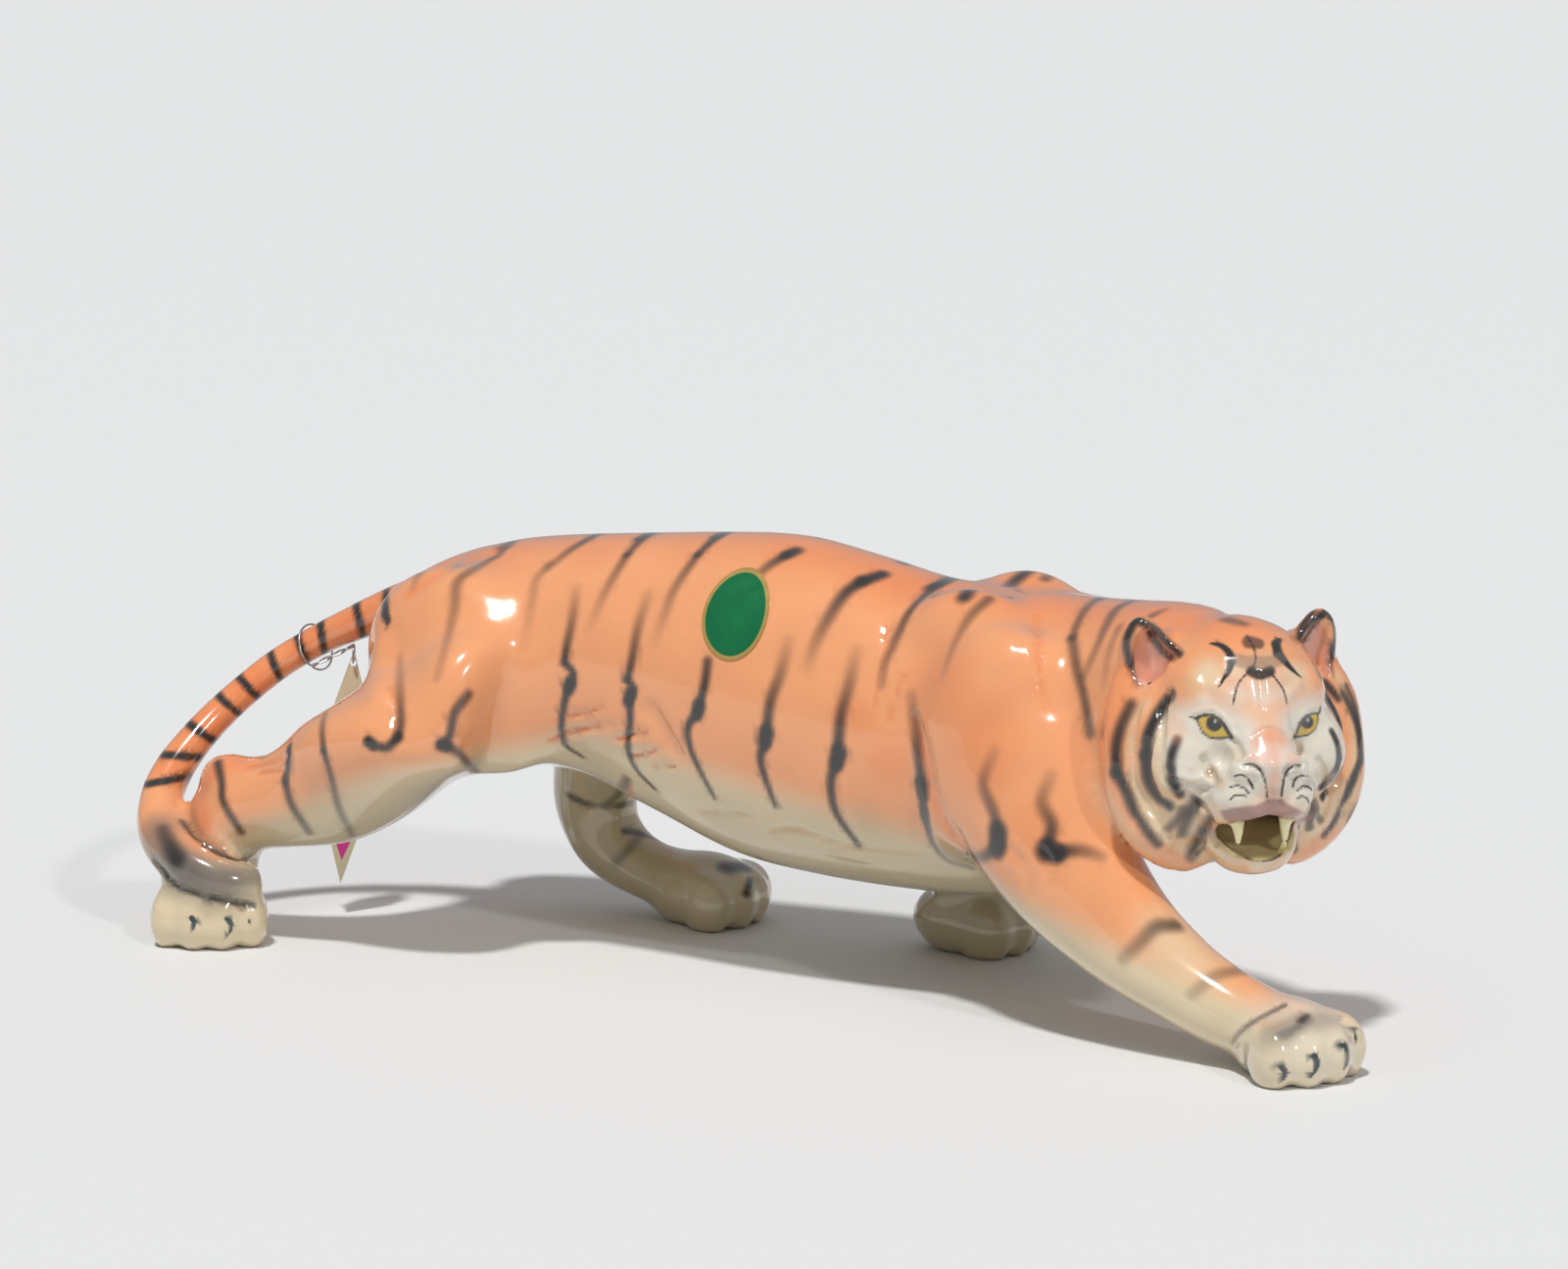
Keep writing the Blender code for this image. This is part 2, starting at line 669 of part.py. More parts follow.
def wire_path(centre):
    """One wire: half the card's eye, a strand of the twist, the ring, and the same way back."""
    ring = ring_points(centre)
    across, up, out = card_axes()
    eye = CARD_HOLE + up * EYE_RADIUS
    start = (ring[0] + ring[-1]) / 2
    stem_low = eye + up * EYE_RADIUS
    along = start - stem_low
    aside = along.cross(out).normalized()
    ahead = along.cross(aside).normalized()
    strand = []
    for k in range(25):
        t = k / 24
        spread = TWIST_RADIUS * min(1.0, 6 * t, 6 * (1 - t))
        angle = 2 * math.pi * TWIST_TURNS * t
        swing = aside * math.cos(angle) + ahead * math.sin(angle)
        strand.append((stem_low + along * t, swing * (TWIST_RADIUS + spread) / 2))
    first = [base + swing for base, swing in strand]
    last = [base - swing for base, swing in reversed(strand)]
    half_eye = []
    for angle in np.radians(np.linspace(12, 160, 12)):
        half_eye.append((EYE_RADIUS * math.cos(angle), EYE_RADIUS * math.sin(angle)))
    going = [eye - up * c - out * s for c, s in half_eye]
    coming = [eye - up * c + out * s for c, s in reversed(half_eye)]
    return going + first + ring + last + coming


def build_wire(casting, parts):
    """The ring is slid down until it hangs on the tail, then the wire is drawn along its path."""
    bpy.context.view_layer.update()
    skin = BVHTree.FromObject(casting, bpy.context.evaluated_depsgraph_get())

    def clearance(centre):
        return min(skin.find_nearest(point)[3] for point in ring_points(centre)) - WIRE_RADIUS

    drops = [0.00005 * step for step in range(100)]
    clear = [drop for drop in drops if clearance(RING_CENTRE - Vector((0, 0, drop))) > TOUCH_GAP]
    centre = RING_CENTRE - Vector((0, 0, clear[-1] if clear else 0.0))
    curve = bpy.data.curves.new("tag_wire", "CURVE")
    curve.dimensions = "3D"
    curve.bevel_depth = WIRE_RADIUS
    curve.bevel_resolution = 2
    curve.use_fill_caps = True
    points = wire_path(centre)
    spline = curve.splines.new("POLY")
    spline.points.add(len(points) - 1)
    for point, co in zip(spline.points, points):
        point.co = (*co, 1)
    wire = bpy.data.objects.new("tag_wire", curve)
    parts.objects.link(wire)
    return wire


def centre_on_origin(casting, pieces):
    """Slide every piece so that the middle of the casting's footprint is over the origin."""
    corners = [vertex.co for vertex in casting.data.vertices]
    middle = [(min(co[axis] for co in corners) + max(co[axis] for co in corners)) / 2
              for axis in (0, 1)]
    for piece in pieces:
        piece.data.transform(Matrix.Translation((-middle[0], -middle[1], 0)))


def main():
    clear_scene()
    parts = new_collection("tiger_figurine")
    cutters = new_collection("cutters")
    casting = build_casting(parts, cutters)
    casting.data.materials.clear()
    casting.data.materials.append(material("glaze", (0.90, 0.45, 0.22), 0.12))
    label = build_label(casting, parts)
    label.data.materials.append(material("green_foil", (0.10, 0.36, 0.20), 0.35, 0.6))
    card = build_card(parts)
    card.data.materials.append(material("card", (0.72, 0.66, 0.48), 0.7))
    wire = build_wire(casting, parts)
    wire.data.materials.append(material("steel_wire", (0.62, 0.62, 0.64), 0.28, 1.0))
    centre_on_origin(casting, (casting, label, card, wire))
    for cutter in cutters.objects:
        cutter.hide_render = True
        cutter.display_type = "WIRE"


main()
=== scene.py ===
import math

import bpy
import numpy as np
from mathutils import Matrix, Vector
from mathutils.bvhtree import BVHTree


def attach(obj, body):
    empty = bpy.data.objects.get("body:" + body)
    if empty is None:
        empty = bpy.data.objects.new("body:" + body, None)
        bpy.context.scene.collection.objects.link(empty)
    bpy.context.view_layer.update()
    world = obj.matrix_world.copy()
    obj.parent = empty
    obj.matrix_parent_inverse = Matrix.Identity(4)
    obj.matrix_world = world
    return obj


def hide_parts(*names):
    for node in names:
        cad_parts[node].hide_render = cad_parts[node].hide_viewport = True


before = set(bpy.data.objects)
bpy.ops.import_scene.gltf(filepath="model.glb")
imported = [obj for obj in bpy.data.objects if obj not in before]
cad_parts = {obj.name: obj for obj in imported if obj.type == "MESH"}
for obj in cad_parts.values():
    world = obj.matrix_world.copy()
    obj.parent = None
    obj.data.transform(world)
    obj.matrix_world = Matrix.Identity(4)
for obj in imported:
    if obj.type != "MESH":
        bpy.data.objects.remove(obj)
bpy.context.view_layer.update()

# The photograph's camera, in the figurine's own frame, metres and degrees
photo = {
    "place": Vector((0.9213, -1.7375, 0.467)),
    "heading": Vector((-0.4695, 0.8829, 0)),
    "pitch": 10.11,
    "focalPixels": 5990,
    "width": 1600,
    "height": 1295,
    "sensor": 36.0,
}

pitch = math.radians(photo["pitch"])
lookDir = photo["heading"].normalized() * math.cos(pitch) - Vector((0, 0, math.sin(pitch)))
rightDir = lookDir.cross(Vector((0, 0, 1))).normalized()
upDir = rightDir.cross(lookDir)


def pixelRay(px, py):
    across = (px - photo["width"] / 2) / photo["focalPixels"]
    down = (py - photo["height"] / 2) / photo["focalPixels"]
    return (lookDir + rightDir * across - upDir * down).normalized()


# Selection and modifier helpers
def deselectAll():
    if bpy.context.object and bpy.context.object.mode != "OBJECT":
        bpy.ops.object.mode_set(mode="OBJECT")
    bpy.ops.object.select_all(action="DESELECT")


def pick(obj):
    deselectAll()
    obj.select_set(True)
    bpy.context.view_layer.objects.active = obj


def addModifier(obj, kind, **settings):
    modifier = obj.modifiers.new(kind.lower(), kind)
    for name, value in settings.items():
        setattr(modifier, name, value)
    pick(obj)
    bpy.ops.object.modifier_apply(modifier=modifier.name)


def setPlace(obj):
    pick(obj)
    bpy.ops.object.transform_apply(location=True, rotation=True, scale=True)


def copyNode(name, newName):
    pick(bpy.data.objects[name])
    bpy.ops.object.duplicate()
    copy = bpy.context.object
    copy.name = newName
    copy.data.materials.clear()
    bpy.ops.object.mode_set(mode="EDIT")
    bpy.ops.mesh.select_all(action="SELECT")
    bpy.ops.mesh.remove_doubles(threshold=0.00001)
    bpy.ops.object.mode_set(mode="OBJECT")
    return copy


def coords(obj):
    flat = np.empty(len(obj.data.vertices) * 3, np.float32)
    obj.data.vertices.foreach_get("co", flat)
    return flat.reshape(-1, 3)


def normals(obj):
    flat = np.empty(len(obj.data.vertices) * 3, np.float32)
    obj.data.vertices.foreach_get("normal", flat)
    return flat.reshape(-1, 3)


def setCoords(obj, points):
    obj.data.vertices.foreach_set("co", points.astype(np.float32).ravel())
    obj.data.update()


def weightGroup(obj, name, weights):
    group = obj.vertex_groups.new(name=name)
    steps = np.clip(np.round(weights * 20), 0, 20).astype(int)
    for step in range(1, 21):
        chosen = np.nonzero(steps == step)[0]
        if len(chosen):
            group.add(chosen.tolist(), step / 20, "REPLACE")


def fade(value, full, none):
    return np.clip((none - value) / (none - full), 0, 1)


def easeFade(value, full, none):
    t = fade(value, full, none)
    return t * t * (3 - 2 * t)


# Shader maths: an expression on wrapped sockets adds its nodes
class Sock:
    def __init__(self, tree, socket):
        self.tree = tree
        self.socket = socket

    def maths(self, operation, other):
        return addNode(self.tree, "ShaderNodeMath", {"operation": operation}, {0: self, 1: other})

    def __add__(self, other):
        return self.maths("ADD", other)

    def __mul__(self, other):
        return self.maths("MULTIPLY", other)

    def __sub__(self, other):
        return self.maths("SUBTRACT", other)

    def __rsub__(self, other):
        return addNode(self.tree, "ShaderNodeMath", {"operation": "SUBTRACT"}, {0: other, 1: self})


def addNode(tree, kind, settings=None, inputs=None, output=0):
    node = tree.nodes.new(kind)
    for name, value in (settings or {}).items():
        if name == "stops":
            ramp = node.color_ramp
            while len(ramp.elements) < len(value):
                ramp.elements.new(1.0)
            for element, (place, colour) in zip(ramp.elements, value):
                element.position = place
                element.color = colour
        else:
            setattr(node, name, value)
    for name, value in (inputs or {}).items():
        if isinstance(value, Sock):
            tree.links.new(value.socket, node.inputs[name])
        else:
            node.inputs[name].default_value = value
    return Sock(tree, node.outputs[output])


def newMaterial(name, **inputs):
    made = bpy.data.materials.new(name)
    made.use_nodes = True
    shader = made.node_tree.nodes["Principled BSDF"]
    for label, value in inputs.items():
        shader.inputs[label].default_value = value
    return made, made.node_tree, shader


def plug(tree, socket, shaderInput):
    tree.links.new(socket.socket, shaderInput)


def fourColour(colour):
    return (*colour, 1.0)


def plugColour(tree, shader, colour, shade):
    scaled = addNode(tree, "ShaderNodeVectorMath", {"operation": "SCALE"}, {0: colour, "Scale": shade})
    plug(tree, scaled, shader.inputs["Base Color"])


def plugBump(tree, shader, height, strength, distance):
    relief = {"Height": height, "Strength": strength, "Distance": distance}
    plug(tree, addNode(tree, "ShaderNodeBump", inputs=relief), shader.inputs["Normal"])


def addNoise(tree, place, scale, detail):
    grain = {"Vector": place, "Scale": scale, "Detail": detail}
    return addNode(tree, "ShaderNodeTexNoise", inputs=grain)


# Glaze colours, in linear light; the olive is not a glaze but painted shade, for the underside of the
# belly, the inner sides of the legs and the hollow of the flank
glazeColours = {
    "cream": (0.70, 0.575, 0.37),
    "peach": (0.83, 0.345, 0.150),
    "orange": (0.80, 0.225, 0.070),
    "crease": (0.66, 0.14, 0.035),
    "white": (0.74, 0.68, 0.57),
    "oliveShade": (0.26, 0.215, 0.115),
    "soot": (0.018, 0.016, 0.015),
    "grey": (0.15, 0.125, 0.105),
    "pink": (0.80, 0.42, 0.32),
    "mauve": (0.28, 0.14, 0.13),
    "tan": (0.55, 0.36, 0.18),
    "brown": (0.20, 0.075, 0.025),
    "iris": (0.62, 0.42, 0.05),
    "slate": (0.035, 0.05, 0.055),
    "glint": (0.62, 0.64, 0.66),
    "mouth": (0.10, 0.030, 0.012),
    "mustard": (0.92, 0.76, 0.36),
    "tooth": (0.82, 0.74, 0.42),
}

# The animal's skin: how fine the clay and the painted mesh are, how far each part is smoothed, where the
# head and face are, and how far a stroke may move when it is mirrored or carried round the tail
tiger = {
    "clayGrid": 0.0009,
    "skinGrid": 0.00245,
    "bodySmoothing": 160,
    "headSmoothing": 5,
    "pawSmoothing": 60,
    "headCentre": Vector((0.1783, -0.0300, 0.107)),
    "headTurn": -47,
    "headNod": 4,
    "faceCentre": (0.016, 0, -0.006),
    "faceReach": 0.038,
    "fineStroke": 0.0012,
    "strokeMargin": -0.0002,
    "mirrorReach": 0.008,
    "headMirrorReach": 0.006,
    "tailDepth": 0.0055,
    "tailReach": 0.011,
    "maskCentre": (0.026, 0, -0.006),
    "maskFade": (0.026, 0.038),
}

headPlace = (
    Matrix.Translation(tiger["headCentre"])
    @ Matrix.Rotation(math.radians(tiger["headTurn"]), 4, "Z")
    @ Matrix.Rotation(math.radians(tiger["headNod"]), 4, "Y")
)
headInverse = headPlace.inverted()


def toHead(points):
    matrix = np.array(headInverse)
    return points @ matrix[:3, :3].T + matrix[:3, 3]


def voxelRemesh(obj, grid):
    obj.data.remesh_voxel_size = grid
    pick(obj)
    bpy.ops.object.voxel_remesh()


def makeClay():
    clay = copyNode("tiger", "tigerClay")
    voxelRemesh(clay, tiger["clayGrid"])
    points = coords(clay)
    fromHead = np.linalg.norm(points - np.array(tiger["headCentre"]), axis=1)
    head = easeFade(fromHead, 0.045, 0.060)
    sole = easeFade(points[:, 2], 0.001, 0.004)
    paw = easeFade(points[:, 2], 0.018, 0.036)
    tail = easeFade(points[:, 0], -0.165, -0.145)
    weightGroup(clay, "body", (1 - head) * (1 - paw) * (1 - tail))
    weightGroup(clay, "paws", (1 - sole) * (1 - head) * np.maximum(paw, tail))
    weightGroup(clay, "head", head)
    for group in ("body", "head"):
        addModifier(clay, "SMOOTH", factor=0.5, iterations=tiger[group + "Smoothing"], vertex_group=group)
    addModifier(clay, "SMOOTH", factor=0.5, iterations=tiger["pawSmoothing"], vertex_group="paws")
    return clay


# Folds pressed into or raised from the clay: radius at each end and height in mm, whether both sides
# have it, where it runs in the photograph, and for some the paint in it, as the accents below
folds = [
    # Folds of skin on the flank and under the belly
    (2, 1.2, -1.2, True, [(564, 754), (581, 746), (603, 742), (624, 739)],
     ("crease", 1.3, 0.8, 0.8, 0.5)),
    (2.2, 1.4, 0.7, True, [(568, 762), (584, 755), (606, 751), (624, 747)]),
    (1.6, 1, -0.9, True, [(581, 730), (599, 727), (617, 720)],
     ("crease", 1.1, 0.8, 0.6, 0.3)),
    (1.8, 1, -1.1, True, [(631, 754), (646, 749), (661, 748)],
     ("crease", 1.1, 0.8, 0.7, 0.4)),
    (1.8, 1.2, 0.6, True, [(634, 762), (650, 757), (664, 757)]),
    (1.6, 1, -1, True, [(646, 771), (660, 768), (671, 765)],
     ("crease", 1.1, 0.8, 0.7, 0.4)),
    (1.5, 1, -0.9, True, [(667, 781), (689, 782)],
     ("crease", 1, 0.8, 0.6, 0.4)),
    (6, 5, -1.6, True, [(664, 726), (676, 746), (690, 768)]),
    (2.2, 1.8, -0.9, True, [(717, 829), (740, 829), (770, 832)],
     ("tan", 1.8, 1.2, 0.7, 0.4)),
    (2.4, 1.8, -1.1, True, [(789, 848), (810, 846), (831, 852), (856, 861), (885, 866), (935, 871)],
     ("tan", 2, 1.4, 0.8, 0.5)),
    (2.6, 2, 0.6, True, [(800, 858), (830, 863), (856, 872), (885, 877)]),
    # Behind and before the shoulder
    (5, 5, -1.6, True, [(934, 735), (945, 775), (950, 805), (962, 836), (982, 862)],
     ("orange", 3, 3, 0.7, 0.4)),
    (1.8, 1.4, -0.8, True, [(905, 640), (903, 668), (896, 700), (893, 722)],
     ("crease", 1.2, 1, 0.45, 0.3)),
    (1.8, 1.4, -0.8, True, [(921, 690), (914, 712), (908, 735)],
     ("crease", 1.2, 1, 0.4, 0.3)),
    (1.8, 1.4, 0.6, True, [(912, 660), (909, 690), (902, 715)]),
    (2.2, 1.6, -0.9, True, [(1057, 629), (1060, 668), (1062, 704), (1071, 728)],
     ("orange", 2, 1.6, 0.7, 0.4)),
    (2.2, 1.6, -0.6, True, [(1040, 640), (1043, 680), (1046, 720)]),
    (3.2, 2.2, -1.1, True, [(1030, 868), (1045, 885), (1052, 912)]),
    (1.8, 1.4, -0.9, True, [(1062, 866), (1072, 880), (1074, 905)]),
    (10, 10, 2.6, True, [(390, 668), (386, 690), (391, 712)]),
    # Root of the tail, tendons of the hock, the tail's edges round the ankle
    (4, 3.4, -0.8, True, [(420, 606), (450, 585), (480, 572), (510, 562)]),
    (1.8, 1.4, -1, False, [(256, 783), (275, 779), (290, 775)],
     ("crease", 1.8, 1.4, 0.5, 0.3)),
    (1.6, 1.4, -0.9, False, [(266, 789), (289, 786)],
     ("crease", 1.6, 1.2, 0.4, 0.3)),
    (1.6, 1.2, -0.8, True, [(398, 702), (406, 722), (402, 742)]),
    (2.4, 2.2, -1.6, False, [(185, 822), (201, 853), (224, 871), (255, 881)]),
    (2.2, 2.2, -1.8, False, [(158, 880), (180, 903), (211, 915), (240, 921), (258, 924)]),
    (1.8, 1.6, -1, False, [(210, 920), (209, 946)]),
    (1.8, 1.6, -0.8, False, [(247, 922), (247, 944)]),
    # Nose fold, nostrils, the lines under the nose, and the corners of the eyes
    (0.9, 0.9, -0.7, False, [(1279, 751), (1287, 745), (1297, 743), (1307, 746), (1314, 750)]),
    (2, 2, 0.9, False, [(1268, 774), (1276, 772)]),
    (2, 2, 0.9, False, [(1329, 775), (1321, 773)]),
    (0.9, 1.6, -1.9, False, [(1269, 781), (1278, 781), (1286, 787)]),
    (0.9, 1.6, -1.9, False, [(1329, 781), (1320, 782), (1312, 788)]),
    (1.2, 0.9, -0.7, False, [(1285, 786), (1291, 798), (1293, 815)]),
    (1.2, 0.9, -0.7, False, [(1313, 787), (1308, 800), (1307, 815)]),
    (2.4, 2.4, -1.4, False, [(1256, 756), (1263, 763), (1266, 772)]),
    (2.2, 2.2, -1.4, False, [(1322, 755), (1324, 763), (1327, 771)]),
    (1.1, 0.9, 0.7, False, [(1217, 727), (1228, 724), (1240, 724), (1251, 733), (1260, 750)]),
    (1.1, 0.9, 0.7, False, [(1348, 720), (1338, 722), (1328, 730), (1318, 750)]),
    (2.2, 2, -0.9, False, [(1285, 688), (1287, 704), (1288, 722)]),
    (3, 3, 0.7, False, [(1240, 700), (1252, 708)]),
    (3, 3, 0.7, False, [(1325, 700), (1316, 708)]),
    # Locks of the ruff and the creases of the near cheek
    (2.6, 2.8, -2, False, [(1190, 707), (1185, 734), (1184, 767), (1187, 792), (1199, 803)]),
    (2.4, 2.4, -1.7, False, [(1167, 702), (1157, 734), (1154, 767), (1157, 801), (1176, 831), (1192, 856)]),
    (2.2, 2.4, -1.9, False, [(1199, 797), (1214, 804), (1228, 806), (1238, 801), (1236, 788), (1229, 774)]),
    (2.4, 2, 0.9, False, [(1206, 792), (1218, 795), (1226, 793)]),
    (2.2, 2.2, -1.7, False, [(1210, 810), (1228, 824), (1237, 842), (1240, 860)]),
    (2, 2, -1.6, False, [(1214, 877), (1227, 858), (1224, 840)]),
    (2, 2, -1.3, False, [(1199, 868), (1206, 848), (1203, 828)]),
    (2.4, 2.4, -1.7, False, [(1343, 675), (1357, 702), (1372, 734), (1374, 767), (1368, 792), (1350, 812)]),
    (1.8, 1.8, -1.3, False, [(1345, 775), (1352, 790), (1347, 806)]),
    # The pinched hollow of the near ear, and the creases of the paw
    (1.2, 1.6, -1.4, False, [(1172, 643), (1184, 660), (1197, 673)]),
    (1.6, 1.4, -0.9, False, [(1366, 1038), (1374, 1050), (1379, 1064), (1380, 1076)]),
    (2.2, 2, -1.1, False, [(1258, 1064), (1266, 1053), (1279, 1043), (1295, 1034), (1311, 1026)]),
]


def carveClay(clay):
    points = coords(clay)
    outward = normals(clay)
    tree = makeTree(clay)
    lift = np.zeros(len(points), np.float32)
    for start, end, height, both, line, *paint in folds:
        found = castPixels(tree, line)
        lines = [found, mirrorPoints(tree, found)] if both else [found]
        for places in lines:
            if len(places) > 1:
                lift += lineMask(points, places, start / 1000, end / 1000, 0.0) * height / 1000
    setCoords(clay, points + outward * lift[:, None])


def subdivideWhere(obj, chosen):
    centres = np.empty(len(obj.data.polygons) * 3, np.float32)
    obj.data.polygons.foreach_get("center", centres)
    mask = chosen(centres.reshape(-1, 3))
    pick(obj)
    bpy.ops.object.mode_set(mode="EDIT")
    bpy.ops.mesh.select_mode(type="FACE")
    bpy.ops.mesh.select_all(action="DESELECT")
    bpy.ops.object.mode_set(mode="OBJECT")
    obj.data.polygons.foreach_set("select", mask)
    bpy.ops.object.mode_set(mode="EDIT")
    bpy.ops.mesh.subdivide(number_cuts=1)
    bpy.ops.object.mode_set(mode="OBJECT")


def inFace(points):
    near = toHead(points)
    reach = np.linalg.norm(near - np.array(tiger["faceCentre"]), axis=1)
    return (reach < tiger["faceReach"]) & (near[:, 0] > 0.002)


def nearStroke(points, strokes):
    around = tiger["strokeMargin"]
    close = np.zeros(len(points), bool)
    for name, start, end, startDark, endDark, core, places in strokes:
        close |= lineMask(points, places, start + around, end + around, 0.999) > 0
    return close


def makeSkin(clay, strokes):
    pick(clay)
    bpy.ops.object.duplicate()
    skin = bpy.context.object
    skin.name = "tigerSkin"
    voxelRemesh(skin, tiger["skinGrid"])
    dark = [stroke for stroke in strokes if stroke[0] in ("soot", "crease", "slate")]
    subdivideWhere(skin, lambda points: inFace(points) | nearStroke(points, dark))
    crisp = [stroke for stroke in dark if max(stroke[1:3]) < tiger["fineStroke"]]
    subdivideWhere(skin, lambda points: inFace(points) | nearStroke(points, crisp))
    addModifier(skin, "SHRINKWRAP", target=clay, wrap_method="NEAREST_SURFACEPOINT")
    deselectAll()
    return skin


def makeTree(obj):
    return BVHTree.FromObject(obj, bpy.context.evaluated_depsgraph_get())


def smoothLine(line, step):
    line = [np.array(corner, float) for corner in line]
    line = [line[0] * 2 - line[1]] + line + [line[-1] * 2 - line[-2]]
    found = []
    for a, b, c, d in zip(line, line[1:], line[2:], line[3:]):
        count = max(1, int(np.linalg.norm(c - b) / step))
        for k in range(count):
            t = k / count
            bend = (2 * a - 5 * b + 4 * c - d) * t * t + (3 * b - a - 3 * c + d) * t ** 3
            found.append(tuple((2 * b + (c - a) * t + bend) / 2))
    found.append(tuple(line[-2]))
    return found


def castPixels(tree, line):
    points = []
    for px, py in smoothLine(line, 3.0):
        hit = tree.ray_cast(photo["place"], pixelRay(px, py))
        if hit[0] is not None:
            points.append(hit[0])
    return points


def mirrorPoints(tree, points):
    flipped = []
    for point in points:
        place, normal, index, distance = tree.find_nearest(Vector((point.x, -point.y, point.z)))
        if distance < tiger["mirrorReach"]:
            flipped.append(place)
    return flipped


def mirrorHead(tree, points):
    flipped = []
    for point in points:
        near = headInverse @ point
        place, normal, index, distance = tree.find_nearest(headPlace @ Vector((near.x, -near.y, near.z)))
        if distance < tiger["headMirrorReach"]:
            flipped.append(place)
    return flipped


def ringPoints(tree, points):
    middle = points[len(points) // 2]
    along = (points[-1] - points[0]).normalized()
    inward = (lookDir - along * lookDir.dot(along)).normalized()
    core = middle + inward * tiger["tailDepth"]
    ring = []
    for k in range(17):
        turn = math.tau * k / 16
        outward = along * math.cos(turn) - inward * math.sin(turn)
        hit = tree.ray_cast(core + outward * tiger["tailReach"], -outward)
        if hit[0] is not None:
            ring.append(hit[0])
    return ring


def photoPixels(points):
    away = points - np.array(photo["place"])
    depth = away @ np.array(lookDir)
    across = away @ np.array(rightDir) / depth * photo["focalPixels"] + photo["width"] / 2
    down = photo["height"] / 2 - away @ np.array(upDir) / depth * photo["focalPixels"]
    return np.stack([across, down], axis=1)


def insideMask(pixels, outline, soft):
    outline = np.array(outline, np.float32)
    inside = np.zeros(len(pixels), bool)
    nearest = np.full(len(pixels), 1e9, np.float32)
    for a, b in zip(outline, np.roll(outline, -1, axis=0)):
        crosses = (a[1] > pixels[:, 1]) != (b[1] > pixels[:, 1])
        slope = (b[0] - a[0]) / (b[1] - a[1] + 1e-9)
        inside ^= crosses & (pixels[:, 0] < a[0] + (pixels[:, 1] - a[1]) * slope)
        along = b - a
        t = np.clip((pixels - a) @ along / (along @ along + 1e-9), 0, 1)
        nearest = np.minimum(nearest, np.linalg.norm(pixels - a - t[:, None] * along, axis=1))
    signed = np.where(inside, -nearest, nearest)
    return easeFade(signed, -soft, soft)


def lineMask(points, line, startRadius, endRadius, core=0.25, startDark=1.0, endDark=1.0):
    mask = np.zeros(len(points), np.float32)
    line = np.array([tuple(p) for p in line], np.float32)
    if len(line) < 2:
        return mask
    reach = max(startRadius, endRadius)
    box = np.all((points > line.min(0) - reach) & (points < line.max(0) + reach), axis=1)
    chosen = np.nonzero(box)[0]
    near = points[chosen]
    found = np.zeros(len(chosen), np.float32)
    for i in range(len(line) - 1):
        a, b = line[i], line[i + 1]
        along = b - a
        length = float(along @ along) + 1e-12
        t = np.clip((near - a) @ along / length, 0, 1)
        gap = np.linalg.norm(near - a - t[:, None] * along, axis=1)
        far = (i + t) / (len(line) - 1)
        radius = startRadius + (endRadius - startRadius) * far
        dark = startDark + (endDark - startDark) * far
        found = np.maximum(found, easeFade(gap / radius, core, 1.0) * dark)
    mask[chosen] = found
    return mask


# Soft black stripes: radius in mm and darkness at each end, and where they run in the photograph
stripes = {}
stripes["back"] = [
    (2.8, 2.4, 0.75, 0.25, [(604, 548), (582, 561), (560, 579)]),
    (3, 2.2, 0.95, 0.5, [(667, 542), (654, 551), (640, 566)]),
    (2.4, 2.6, 0.55, 0.05, [(640, 566), (627, 587), (615, 609), (601, 642)]),
    (3, 2.2, 0.95, 0.6, [(745, 540), (728, 551), (712, 566)]),
    (2.4, 2.8, 0.6, 0.05, [(712, 566), (697, 587), (686, 605), (678, 627), (667, 657)]),
    (3.4, 3, 0.9, 0.9, [(812, 562), (803, 566)]),
    (3, 2.2, 0.8, 0.2, [(803, 566), (785, 577), (771, 590), (767, 602)]),
    (3.4, 3.4, 0.95, 0.9, [(900, 586), (880, 593)]),
    (3.2, 2.8, 0.9, 0.1, [(880, 593), (862, 606), (845, 631), (832, 656), (824, 680)]),
    (3, 2.6, 0.7, 0.85, [(974, 588), (955, 598)]),
    (2.6, 2.2, 0.85, 0.25, [(955, 598), (930, 622), (916, 648), (904, 676), (900, 698)]),
    (2.6, 2.6, 0.55, 0.08, [(1009, 611), (990, 629), (974, 657), (962, 690)]),
    (3.6, 3.2, 0.9, 0.8, [(1056, 577), (1040, 589), (1030, 598)]),
    (3, 2.4, 0.6, 0.15,
     [(526, 549), (510, 565), (483, 581), (467, 594), (464, 618), (459, 642), (446, 691)]),
    (2.4, 2.4, 0.3, 0.05, [(560, 576), (547, 592), (542, 618), (534, 661)]),
    (2.6, 2.2, 0.35, 0.1, [(450, 566), (432, 580), (420, 600)]),
]
